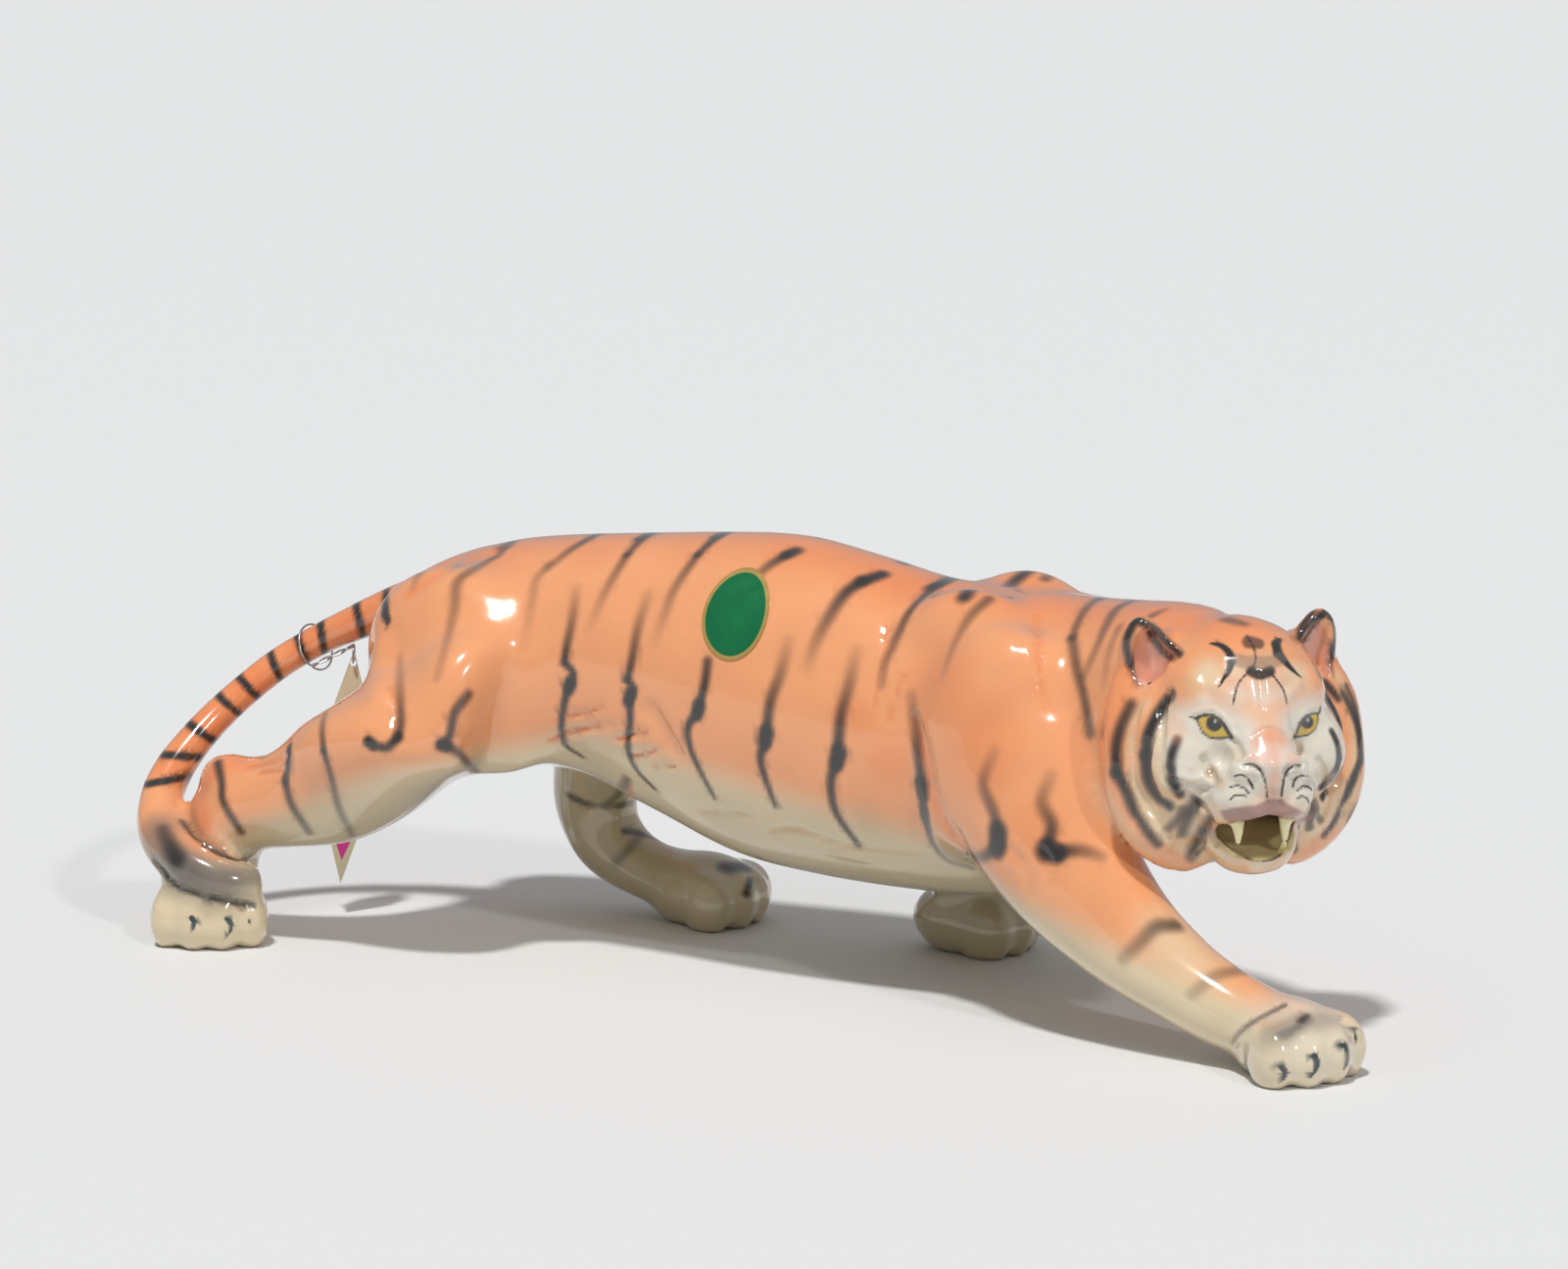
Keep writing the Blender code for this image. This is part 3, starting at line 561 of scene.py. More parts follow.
stripes["flank"] = [
    (2.8, 2, 0.12, 0.85, [(588, 601), (584, 631), (578, 661), (576, 676)]),
    (1.9, 1.9, 0.9, 1, [(576, 676), (585, 687), (583, 698)]),
    (2, 1.3, 0.95, 0.75, [(579, 703), (575, 722), (573, 742), (577, 760), (594, 772)]),
    (3, 2, 0.12, 0.85, [(661, 607), (651, 640), (645, 672), (640, 694)]),
    (1.9, 1.9, 0.9, 1, [(640, 694), (647, 703), (643, 713)]),
    (2.1, 1.3, 0.95, 0.75, [(642, 716), (643, 735), (641, 765), (650, 786), (668, 805)]),
    (2.4, 2.2, 0.7, 1, [(722, 675), (719, 698), (712, 725)]),
    (2.1, 1.3, 0.95, 0.75, [(712, 727), (702, 742), (704, 762), (714, 786), (729, 814)]),
    (3.2, 2.4, 0.12, 0.95, [(804, 655), (796, 688), (786, 716), (782, 749)]),
    (2.3, 1.4, 0.95, 0.75, [(782, 757), (776, 772), (780, 792), (791, 822)]),
    (3.2, 2.6, 0.12, 0.95, [(874, 664), (866, 700), (858, 731), (855, 765)]),
    (2.5, 1.6, 0.9, 0.8, [(855, 777), (848, 795), (850, 820), (858, 838), (876, 862)]),
    (3, 2.8, 0.2, 0.95, [(930, 710), (934, 740), (936, 768), (940, 798)]),
    (2.6, 2.2, 0.95, 0.9, [(940, 800), (943, 830), (946, 842)]),
    (2.2, 1.8, 0.8, 0.3, [(946, 842), (953, 862), (968, 878), (990, 886)]),
]
stripes["drops"] = [
    (2.5, 2.3, 1, 1, [(582, 697), (580, 703)]),
    (2.5, 2.3, 1, 1, [(643, 709), (641, 716)]),
    (2.7, 2.4, 1, 1, [(713, 721), (711, 729)]),
    (3, 2.7, 1, 1, [(782, 748), (780, 757)]),
    (3.1, 2.8, 1, 1, [(856, 768), (853, 779)]),
    (2.8, 2.6, 1, 1, [(939, 800), (941, 812)]),
    (2.4, 2.2, 0.9, 0.9, [(943, 826), (944, 834)]),
    (4, 3.6, 0.9, 0.95, [(1018, 850), (1017, 866)]),
    (3.8, 3.4, 0.95, 0.95, [(1068, 868), (1078, 871)]),
    (2.2, 2, 0.9, 0.9, [(376, 757), (380, 761)]),
    (2.4, 2.2, 0.9, 0.9, [(451, 760), (456, 762)]),
]
stripes["legs"] = [
    (3, 3, 0.15, 0.8, [(1014, 768), (1003, 800), (1014, 830), (1020, 855)]),
    (3, 2.4, 0.85, 0.5, [(1020, 862), (1002, 875), (988, 872)]),
    (3, 3, 0.15, 0.8, [(1072, 792), (1063, 818), (1073, 842), (1069, 862)]),
    (3, 2.6, 0.85, 0.25, [(1078, 870), (1102, 868), (1124, 874)]),
    (2.4, 2.2, 0.15, 0.8, [(408, 672), (408, 701), (409, 734), (406, 752)]),
    (2.2, 2, 0.85, 0.9, [(406, 752), (394, 763), (376, 758)]),
    (2.4, 2, 0.7, 0.8, [(478, 709), (464, 728), (459, 750), (452, 760)]),
    (2.2, 1.6, 0.85, 0.4, [(452, 760), (467, 768), (480, 782), (496, 798)]),
    (2, 2, 0.3, 0.75, [(337, 712), (329, 739), (330, 766)]),
    (2, 1.8, 0.75, 0.35, [(330, 766), (338, 793), (346, 825), (360, 853)]),
    (2.6, 2.2, 0.9, 0.8, [(295, 763), (294, 779), (291, 798)]),
    (2.2, 2, 0.8, 0.5, [(291, 798), (298, 822), (316, 850)]),
    (2.2, 2, 0.8, 0.75, [(222, 778), (226, 798), (228, 819), (246, 849)]),
    (3.6, 3, 0.65, 0.25, [(1200, 944), (1180, 946), (1163, 962), (1146, 978)]),
    (3.4, 2.8, 0.4, 0.2, [(1266, 990), (1240, 996), (1217, 1014)]),
]
stripes["neck"] = [
    (2.8, 2.2, 0.6, 0.5, [(1130, 608), (1112, 617), (1101, 633), (1094, 651)]),
    (2.4, 2.6, 0.55, 0.6, [(1094, 651), (1099, 683), (1106, 710), (1113, 748)]),
    (3, 2.2, 0.7, 0.2, [(1155, 613), (1139, 622), (1128, 640), (1119, 661), (1106, 690)]),
    (2.4, 2.2, 0.3, 0.1, [(1142, 640), (1132, 664), (1126, 700)]),
    (3.4, 3, 0.6, 0.5, [(1252, 632), (1268, 636)]),
    (2.6, 2.2, 0.5, 0.3, [(1176, 628), (1188, 622)]),
]
stripes["tail"] = [
    (2, 2.6, 0.9, 0.9, [(398, 589), (394, 604), (392, 626)]),
    (2, 2, 0.9, 0.9, [(365, 608), (364, 622), (368, 637)]),
    (2, 1.8, 0.9, 0.9, [(330, 626), (327, 638), (329, 651)]),
    (1.8, 1.8, 0.9, 0.85, [(301, 640), (304, 652), (309, 665)]),
    (1.8, 1.8, 0.9, 0.85, [(275, 661), (277, 671), (282, 683)]),
    (1.8, 1.8, 0.9, 0.85, [(244, 691), (249, 697), (255, 704)]),
    (1.8, 1.8, 0.9, 0.85, [(222, 708), (227, 714), (232, 718)]),
    (2.2, 2, 0.9, 0.85, [(195, 740), (200, 744), (206, 748)]),
    (2.2, 2, 0.9, 0.6, [(168, 771), (180, 771), (190, 773)]),
    (2.2, 2, 0.9, 0.7, [(153, 800), (162, 798), (170, 797)]),
    (3.4, 4.4, 0.5, 0.9, [(166, 846), (171, 858), (180, 876)]),
    (1.6, 1.4, 0.7, 0.8, [(186, 838), (200, 857), (220, 870), (240, 877), (253, 878)]),
]
stripes["ruff"] = [
    (2.6, 2.6, 0.7, 0.95, [(1154, 719), (1144, 741), (1139, 762), (1139, 789)]),
    (2.6, 2.2, 0.95, 0.75, [(1139, 789), (1149, 806), (1156, 824), (1170, 847), (1181, 861)]),
    (2.4, 2.8, 0.95, 0.98, [(1196, 709), (1181, 730), (1172, 750), (1170, 771)]),
    (2.8, 2.6, 0.98, 0.85, [(1170, 771), (1172, 796), (1181, 812), (1192, 822)]),
    (2, 2.4, 0.8, 0.95, [(1201, 755), (1195, 771), (1193, 785)]),
    (2.4, 2.2, 0.95, 0.8, [(1193, 785), (1197, 799), (1204, 812)]),
    (3, 2.6, 0.75, 0.6, [(1222, 817), (1211, 835), (1206, 850)]),
    (2.6, 2.6, 0.75, 0.6, [(1236, 836), (1222, 858), (1215, 872)]),
    (2, 2, 0.5, 0.5, [(1207, 825), (1200, 838), (1192, 846)]),
    (2, 2, 0.8, 0.85, [(1346, 688), (1356, 701), (1366, 712)]),
    (1.6, 1.6, 0.7, 0.8, [(1374, 700), (1384, 724), (1388, 752)]),
    (1.8, 1.4, 0.8, 0.7, [(1366, 765), (1364, 782), (1348, 804)]),
    (2.4, 2, 0.8, 0.7, [(1391, 808), (1382, 827), (1372, 846)]),
]
stripes["ears"] = [
    (2, 2.2, 1, 0.9, [(1157, 634), (1149, 656), (1153, 676)]),
    (1.6, 1.2, 0.8, 0.4, [(1153, 676), (1160, 698)]),
    (2, 1.8, 1, 0.9, [(1162, 633), (1177, 642), (1190, 655), (1204, 668)]),
    (1.8, 1.8, 0.9, 0.9, [(1173, 645), (1185, 661), (1197, 673)]),
    (1.8, 2, 0.9, 0.8, [(1340, 624), (1328, 639), (1326, 653)]),
    (1.6, 1.6, 0.7, 0.9, [(1354, 622), (1362, 636), (1364, 652), (1360, 670)]),
    (1.6, 1.2, 0.8, 0.7, [(1345, 617), (1336, 622)]),
]
stripes["farLeg"] = [
    (2.6, 2.2, 0.5, 0.35, [(640, 795), (630, 812), (618, 822)]),
    (2.4, 2.4, 0.4, 0.3, [(655, 850), (640, 868), (628, 880)]),
    (4.5, 4, 0.9, 0.9, [(742, 885), (758, 884)]),
    (2, 2, 0.9, 0.9, [(766, 898), (762, 912)]),
]

# The same on the left side, which the photograph does not show, in mm in the animal's frame
leftStripes = [
    (2.6, 2.2, 0.7, 0.2, [(112, 6, 150), (115, 30, 132), (117, 44, 105), (116, 46, 85)]),
    (2.6, 2.2, 0.7, 0.2, [(132, 2, 148), (137, 24, 130), (141, 36, 104), (140, 36, 82)]),
    (2.4, 2, 0.6, 0.2, [(150, -4, 144), (157, 14, 126), (163, 22, 104), (163, 22, 84)]),
    (2.6, 2.4, 0.2, 0.8, [(60, 64, 90), (54, 70, 78), (58, 70, 66)]),
    (2.4, 2.2, 0.8, 0.4, [(58, 70, 66), (68, 66, 60), (78, 60, 58)]),
    (2.6, 2.2, 0.6, 0.3, [(34, 58, 50), (44, 68, 44), (58, 66, 40)]),
    (2.4, 2, 0.5, 0.2, [(36, 60, 32), (48, 68, 28), (60, 62, 27)]),
    (2.2, 2, 0.7, 0.3, [(-132, 40, 74), (-122, 52, 64), (-110, 56, 56)]),
    (2.2, 1.8, 0.6, 0.3, [(-106, 46, 46), (-94, 56, 40), (-80, 58, 38)]),
    (2.2, 1.8, 0.6, 0.3, [(-94, 46, 28), (-80, 56, 24), (-70, 58, 26)]),
]

# Airbrushed colour, and painted shade in olive: centre in the animal's frame and radius, both in mm, and
# how strong
sprays = {
    "orange": [
        ((-150, 0, 130), 30, 0.6), ((-110, 0, 150), 32, 0.6), ((-70, 0, 158), 30, 0.65),
        ((-30, 0, 162), 30, 0.65), ((10, 0, 160), 32, 0.75), ((50, 0, 154), 36, 0.9),
        ((85, 0, 152), 36, 0.9), ((120, 0, 150), 34, 0.9), ((150, -10, 146), 34, 0.9),
        ((-175, 0, 112), 16, 0.8), ((-195, -6, 102), 14, 0.9), ((-212, -16, 86), 16, 0.9),
        ((-222, -30, 70), 16, 0.9), ((-225, -44, 56), 13, 0.8), ((-192, -52, 68), 12, 0.8),
        ((96, -56, 96), 22, 0.45), ((75, -44, 115), 20, 0.4), ((120, -56, 70), 14, 0.3),
        ((-150, -40, 115), 18, 0.3), ((58, -44, 85), 12, 0.5), ((45, -44, 100), 12, 0.4),
        ((-75, -44, 80), 14, 0.4), ((-60, 30, 55), 10, 0.5),
    ],
    "cream": [
        ((-85, -50, 50), 16, 0.6), ((176, -60, 45), 22, 0.8), ((-50, 50, 16), 24, 0.5),
    ],
    "white": [
        ((214, -60, 12), 22, 0.75), ((-199, -60, 10), 18, 0.5), ((46, 58, 12), 18, 0.3),
        ((-56, 52, 10), 16, 0.3),
    ],
    # Painted shade, in olive: in the hollow of the flank, low on the flank and belly, and on the legs, on
    # both sides
    "oliveShade": [
        ((-48, -44, 76), 10, 0.35), ((-12, -38, 48), 20, 0.18), ((48, -46, 60), 14, 0.35),
        ((-112, -50, 52), 14, 0.25), ((-66, 36, 62), 22, 0.35), ((-55, 40, 30), 18, 0.3),
        ((45, 45, 34), 20, 0.4),
    ],
    "grey": [
        ((-214, -64, 34), 13, 0.75), ((-203, -74, 28), 13, 0.75), ((-188, -72, 24), 13, 0.7),
    ],
}

# How high the cream of the belly and legs reaches, by the distance along the body, in mm
creamLine = {
    "along": (-230, -190, -165, -120, -60, 0, 50, 110, 150, 200),
    "height": (34, 38, 48, 64, 80, 70, 60, 46, 38, 30),
}

# Painted lines on the body, as the stripes, with the colour's name first
accents = [
    ("crease", 7, 6, 0.5, 0.5, [(216, 786), (204, 815), (208, 842)]),
    ("brown", 4, 3.4, 0.45, 0.55, [(200, 800), (196, 826), (204, 850), (226, 868)]),
    ("grey", 8, 9, 0.35, 0.8, [(158, 842), (170, 872), (192, 888)]),
    ("grey", 9, 8, 0.85, 0.8, [(192, 888), (220, 898), (262, 893)]),
    ("soot", 2.2, 2.2, 0.55, 0.75, [(158, 880), (180, 903), (211, 915), (240, 921), (258, 924)]),
    ("tan", 4, 3, 0.5, 0.4, [(600, 830), (592, 800), (590, 785)]),
    ("crease", 3.2, 2.4, 0.5, 0.3, [(640, 800), (652, 830), (664, 856), (690, 872)]),
    ("tan", 3.4, 3, 0.5, 0.3, [(668, 868), (700, 882), (735, 888)]),
    ("orange", 4.4, 3.6, 0.5, 0.4, [(416, 608), (450, 585), (480, 572), (510, 562)]),
    ("crease", 1.4, 1.2, 0.5, 0.3, [(398, 702), (406, 722), (402, 742)]),
    ("cream", 4, 5, 0.6, 0.7, [(1196, 722), (1184, 752), (1184, 790), (1196, 822)]),
    ("cream", 3.6, 4.4, 0.5, 0.7, [(1168, 716), (1156, 748), (1156, 786), (1166, 818), (1184, 850)]),
    ("cream", 4, 4, 0.6, 0.5, [(1218, 826), (1214, 850), (1222, 866)]),
    ("cream", 4.4, 4.4, 0.5, 0.7, [(1366, 690), (1380, 722), (1384, 760), (1382, 800), (1366, 836)]),
    ("soot", 1.6, 1.6, 0.35, 0.6, [(1258, 1064), (1266, 1053), (1279, 1043), (1295, 1034), (1311, 1026)]),
    ("grey", 3.4, 3, 0.75, 0.8, [(1309, 1056), (1322, 1050), (1333, 1040)]),
    ("grey", 9, 8, 0.6, 0.5, [(1300, 1054), (1325, 1044), (1352, 1040)]),
    ("soot", 2.2, 2, 0.7, 0.6, [(1327, 1042), (1334, 1036)]),
    ("grey", 1.2, 1.2, 0.5, 0.5, [(1366, 1038), (1374, 1050), (1379, 1064)]),
    ("tan", 1.4, 1, 0.7, 0.5, [(1262, 1074), (1263, 1085)]),
    ("mustard", 1.4, 1.4, 0.3, 0.3, [(1354, 1063), (1356, 1073)]),
    ("slate", 1.1, 1.1, 1, 1, [(1304, 1087.5), (1309, 1089.5), (1312, 1095)]),
    ("slate", 1.1, 0.4, 1, 1, [(1312, 1095), (1310, 1100), (1304, 1103.5)]),
    ("slate", 1, 1.1, 1, 1, [(1337, 1077), (1341.5, 1077.5), (1344, 1084)]),
    ("slate", 1.1, 0.4, 1, 1, [(1344, 1084), (1342.5, 1092), (1336.5, 1100)]),
    ("slate", 1, 1.1, 1, 1, [(1368, 1067), (1372, 1067), (1375.5, 1074)]),
    ("slate", 1.1, 0.4, 1, 1, [(1375.5, 1074), (1376, 1083), (1371.5, 1091)]),
    ("slate", 0.7, 0.5, 1, 1, [(1381.5, 1049), (1383, 1056), (1382.5, 1063)]),
    ("slate", 0.5, 0.5, 0.9, 0.9, [(1278.7, 1086), (1280, 1088.5)]),
    ("slate", 1.1, 1, 1, 1, [(195.5, 936.5), (198, 941)]),
    ("slate", 1, 0.4, 1, 1, [(198, 941), (197, 947), (192, 950)]),
    ("slate", 1.1, 1.1, 1, 1, [(232, 938), (236, 943)]),
    ("slate", 1.1, 0.4, 1, 1, [(236, 943), (235, 951), (230, 956)]),
    ("slate", 0.8, 0.6, 1, 1, [(256, 934), (254, 941)]),
    ("tan", 1.2, 1, 0.5, 0.3, [(210.5, 922), (209.5, 946)]),
]


def sprayMask(points, spots):
    left = np.ones(len(points), np.float32)
    for centre, radius, strength in spots:
        for side in (1, -1):
            spot = np.array((centre[0], centre[1] * side, centre[2]), np.float32)
            gap = np.linalg.norm(points * 1000 - spot, axis=1)
            left *= 1 - strength * easeFade(gap, radius * 0.35, radius * 1.15)
            if centre[1] == 0:
                break
    return 1 - left


# The painted face, in the photograph's pixels
face = {
    "nearEye": [(1220.6, 732.9), (1227, 730.4), (1234.7, 729.6), (1244.7, 734.5), (1250.5, 744.5),
                (1256.3, 753.6), (1246.3, 754.6), (1234.7, 754.2), (1226.4, 748.2), (1222.3, 739.5)],
    "farEye": [(1345.8, 727), (1335.9, 728.7), (1329.3, 735.4), (1324.3, 745.1), (1321.3, 753.3),
               (1334.2, 751.6), (1342.5, 745), (1345.4, 736.2)],
    "nearPupil": (1239.0, 738.0, 8.6),
    "farPupil": (1333.6, 736.8, 7.0),
    "lip": [(1244.6, 827.4), (1260.7, 824), (1281.4, 821.7), (1295, 815), (1306.6, 815), (1320.4, 824),
            (1341, 833), (1338.7, 836), (1327, 840), (1313.5, 840), (1306.6, 835), (1295, 833), (1284, 837),
            (1275, 846), (1258.4, 842), (1249, 836)],
}

# Painted strokes on the face: radius in pixels at each end, the line, and colour and strength where it is
# not soot at full strength
faceStrokes = [
    (0.9, 6.4, [(1221.5, 656.1), (1234.7, 655.8), (1246.3, 659), (1254.6, 666.5), (1256.5, 674)]),
    (6.4, 0.8, [(1256.5, 674), (1253.5, 684.8), (1248.5, 693), (1244, 701)]),
    (1.2, 6.4, [(1315, 648.6), (1307, 651), (1302, 657)]),
    (6.4, 6.4, [(1302, 657), (1304, 666.5)]),
    (6.4, 0.8, [(1304, 666.5), (1311, 675), (1319.3, 684), (1328, 691.7)]),
    (1.3, 1.5, [(1271.2, 648), (1277.8, 658), (1281.2, 669.9), (1279.5, 679), (1272.9, 686.4),
                (1263.8, 697.2), (1260.4, 708), (1258.4, 717.6)], "soot", 0.9),
    (1.5, 1.2, [(1296, 686.4), (1302.7, 693.9), (1309.4, 703.8), (1313.5, 717.9)], "soot", 0.9),
    (7.5, 7.5, [(1277, 685), (1286, 688.5), (1296, 685)], "soot", 0.95),
    (9, 7, [(1274, 655), (1285, 657)], "soot", 0.8),
    (9, 9, [(1264, 674), (1275, 676), (1296, 676), (1306, 672)], "grey", 0.5),
    (1.8, 1.6, [(1269.6, 781), (1277.8, 780), (1286, 786), (1291, 797.6), (1292.8, 812.5)]),
    (1.8, 1.6, [(1326, 781), (1319.3, 781.8), (1312.7, 787.6), (1309.4, 799.2), (1307.7, 812.5)]),
    (1.2, 1.8, [(1259.9, 792.2), (1266.2, 790.6), (1272.9, 794.2), (1278.7, 804.2)]),
    (1.2, 1.6, [(1255.5, 802.9), (1262.9, 802.2), (1269.6, 804.2), (1274.2, 809.2)]),
    (1.2, 1.4, [(1255.5, 815.8), (1259.6, 812.1), (1266.2, 810.8), (1271.5, 812.8)]),
    (1.8, 1.2, [(1319.3, 802.5), (1321, 795.9), (1326.8, 791.7), (1335, 792.2)]),
    (1.6, 1.2, [(1324, 806.7), (1327.6, 803.3), (1334.2, 802.5), (1338.9, 806.7)]),
    (1.4, 1.2, [(1324.3, 814.1), (1329.3, 812.5), (1333.4, 814.5), (1336.2, 820.4)]),
    (1, 1.6, [(1214, 732), (1221, 733.5)]),
    (1.8, 2.4, [(1221, 732), (1230, 729.5), (1240, 731), (1248, 738), (1257, 753)]),
    (1.6, 2, [(1346, 727), (1336, 729), (1328, 736), (1321, 753)]),
    (1, 1.6, [(1347.5, 721.3), (1346, 728)]),
    (1.2, 1.4, [(1262, 867), (1272, 875.5), (1286, 878.5), (1300, 876.5), (1311, 868)]),
]

# Soft sprays on the face: centre and radius in pixels, colour and strength
faceSprays = [
    (1285, 630, 22, "orange", 0.6), (1245, 640, 20, "orange", 0.45), (1320, 645, 14, "orange", 0.4),
    (1232, 688, 22, "cream", 0.75), (1322, 688, 16, "cream", 0.7), (1262, 682, 14, "cream", 0.5),
    (1288, 672, 18, "tan", 0.45), (1250, 668, 14, "tan", 0.25), (1288, 708, 16, "white", 0.7),
    (1262, 710, 14, "white", 0.5), (1312, 708, 12, "white", 0.5), (1288, 700, 12, "peach", 0.2),
    (1288, 752, 13, "orange", 0.4), (1302, 751, 13, "orange", 0.45), (1312, 757, 10, "orange", 0.35),
    (1281, 759, 9, "orange", 0.3), (1297, 771, 16, "pink", 0.6), (1279, 773, 10, "pink", 0.6),
    (1319, 773, 10, "pink", 0.6), (1300, 794, 9, "pink", 0.6), (1300, 808, 8, "mauve", 0.35),
    (1236, 790, 10, "tan", 0.5), (1262, 768, 12, "tan", 0.35), (1214, 700, 16, "tan", 0.35),
    (1200, 745, 16, "peach", 0.35), (1345, 690, 14, "peach", 0.4), (1352, 790, 12, "tan", 0.35),
    (1246, 800, 9, "tan", 0.5), (1290, 886, 16, "white", 0.6), (1243, 845, 10, "peach", 0.7),
    (1326, 765, 8, "tan", 0.3), (1236, 787, 7, "brown", 0.6), (1243, 795, 6, "brown", 0.45),
    (1228, 715, 10, "white", 0.5),
]


# The mouth, teeth, ears and ruff in the head's own frame: metres, with two values where paint fades out
headParts = {
    "mouthFront": (0.0270, 0.0285),
    "mouthLow": -0.0296,
    "mouthHalf": (0.0130, 0.0086),
    "mouthFloor": (-0.0345, -0.0285),
    "tooth": (0.0275, 0.0080),
    "toothRadius": (0.0030, 0.0036),
    "toothTop": (-0.0250, -0.0235),
    "toothTip": -0.0345,
    "earHollow": (-0.0045, 0.0275, 0.0205),
    "earHalf": (0.006, 0.0068, 0.0122),
    "ruffReach": (0.046, 0.056),
    "ruffRing": 0.0425,
    "ringFade": (0.0015, 0.0045),
    "cheekFade": (0.012, 0.020),
}


def paintFace(points, lay):
    pixels = photoPixels(points)
    near = toHead(points)
    front = (inFace(points) & (near[:, 0] > 0.004)).astype(np.float32)
    halfWidth, halfHeight = headParts["mouthHalf"]
    oval = (near[:, 1] / halfWidth) ** 2 + ((near[:, 2] - headParts["mouthLow"]) / halfHeight) ** 2
    cavity = front * easeFade(near[:, 0], *headParts["mouthFront"]) * easeFade(oval, 0.98, 1.1)
    for px, py, radius, name, strength in faceSprays:
        gap = np.hypot(pixels[:, 0] - px, pixels[:, 1] - py)
        lay(name, easeFade(gap, radius * 0.2, radius * 1.2) * strength * front)
    lay("mauve", insideMask(pixels, face["lip"], 2.0) * front * 0.85)
    for start, end, line, *tint in faceStrokes:
        name, strength = tint or ("soot", 1)
        lay(name, lineMask(pixels, smoothLine(line, 2.5), start, end, 0.5) * strength * front)
    for eye, pupil in (("nearEye", "nearPupil"), ("farEye", "farPupil")):
        outline = face[eye]
        lay("soot", insideMask(pixels, outline, 0.7) * front)
        middle = np.mean(outline, axis=0)
        inner = [tuple(middle + (np.array(corner) - middle) * 0.86) for corner in outline]
        inner = [(x, y - 0.6) for x, y in inner]
        lay("iris", insideMask(pixels, inner, 0.7) * front)
        px, py, radius = face[pupil]
        gap = np.hypot(pixels[:, 0] - px, pixels[:, 1] - py)
        lay("soot", easeFade(gap, radius - 1, radius + 0.8) * insideMask(pixels, inner, 0.7) * front)
        glint = np.hypot(pixels[:, 0] - px - 1.0, pixels[:, 1] - py + 2.0)
        lay("glint", easeFade(glint, 0.8, 2.4) * front * 0.8)
    lay("mouth", cavity)
    lay("mustard", cavity * easeFade(near[:, 2], *headParts["mouthFloor"]))
    toothFront, toothSide = headParts["tooth"]
    for side in (-1, 1):
        tooth = np.hypot(near[:, 1] - side * toothSide, near[:, 0] - toothFront)
        low = easeFade(near[:, 2], *headParts["toothTop"]) * front * (near[:, 2] > headParts["toothTip"])
        lay("tooth", low * easeFade(tooth, *headParts["toothRadius"]))


def paintRuff(points, lay):
    near = toHead(points)
    fromHead = np.linalg.norm(near, axis=1)
    head = easeFade(fromHead, *headParts["ruffReach"]) * easeFade(-near[:, 0], 0.012, 0.020)
    lay("peach", head * 0.6)
    lay("cream", head * easeFade(near[:, 2], -0.030, -0.008) * 0.75)
    fromRing = np.abs(np.hypot(near[:, 1], near[:, 2] + 0.006) - headParts["ruffRing"])
    lay("orange", head * easeFade(fromRing, *headParts["ringFade"]) * 0.5)
    cheek = easeFade(np.hypot(np.abs(near[:, 1]) - 0.016, near[:, 2] + 0.004), *headParts["cheekFade"])
    lay("white", cheek * head * easeFade(-near[:, 0], -0.006, 0.004))
    crown = easeFade(-near[:, 2], -0.036, -0.026) * easeFade(np.abs(near[:, 1]), 0.014, 0.024)
    lay("orange", head * crown * 0.75)
    for side in (-1, 1):
        inner = np.array(headParts["earHollow"]) * (1, side, 1)
        depth = np.linalg.norm((near - inner) / headParts["earHalf"], axis=1)
        lay("pink", easeFade(depth, 0.85, 1.1) * 0.8)
        lay("brown", easeFade(depth, 0.3, 0.9) * 0.5)


# How much a stripe is widened and the share of its radius that is wholly dark, the share for those out
# of the photograph's sight, the power that deepens soot, and the groups that both sides have
stripeLook = {
    "line": (1.35, 0.06),
    "drop": (1.5, 0.3),
    "hiddenCore": 0.28,
    "deepen": 1.8,
    "bothSides": ("back", "flank", "drops", "legs", "neck"),
}


def findStrokes(clay):
    tree = makeTree(clay)
    found = []

    def addPlaces(name, look, core, places, widen=1):
        start, end, startDark, endDark = look
        if len(places) > 1:
            found.append((name, start * widen / 1000, end * widen / 1000, startDark, endDark, core, places))

    def add(name, look, line, both, core, widen=1):
        places = castPixels(tree, line)
        addPlaces(name, look, core, places, widen)
        if both:
            addPlaces(name, look, core, mirrorPoints(tree, places), widen)

    for start, end, height, both, line, *paint in folds:
        for name, *look in paint:
            add(name, look, line, both, 0.1)
    for name, *look, line in accents:
        sharp = name == "slate"
        both = not sharp and name != "cream" and line[0][1] < 900 and line[0][0] > 300
        add(name, look, line, both, 0.75 if sharp else 0.1)
    hidden = stripeLook["hiddenCore"]
    for group, lines in stripes.items():
        widen, core = stripeLook["drop" if group == "drops" else "line"]
        for *look, line in lines:
            add("soot", look, line, group in stripeLook["bothSides"], core, widen)
            places = castPixels(tree, line)
            if group in ("ruff", "ears") and line[0][0] < 1240:
                addPlaces("soot", look, hidden, mirrorHead(tree, places))
            elif group == "tail" and line[0][1] < 805:
                addPlaces("soot", look, hidden, ringPoints(tree, places))
    for *look, line in leftStripes:
        places = [tree.find_nearest(Vector(place) / 1000)[0] for place in smoothLine(line, 1)]
        addPlaces("soot", look, hidden, places)
    return found


# Where the body's colours and its painted shade fade into each other: heights in mm, facing as a share of
# one, the rest in metres
bodyFades = {
    "facingLift": 9,
    "cream": (-10, 9),
    # From here on the fades bound the olive painted shade under the belly and on the inner sides of the
    # legs
    "bellyFacing": (-0.75, 0.15),
    "bellyTop": (30, 80),
    "bellyFloor": (8, 20),
    "bellyFront": (0.10, 0.13),
    "legTop": (60, 84),
    "legSide": (-0.034, -0.020),
    "legFacing": (-0.5, 0.5),
    "legEnd": (0.14, 0.17),
}


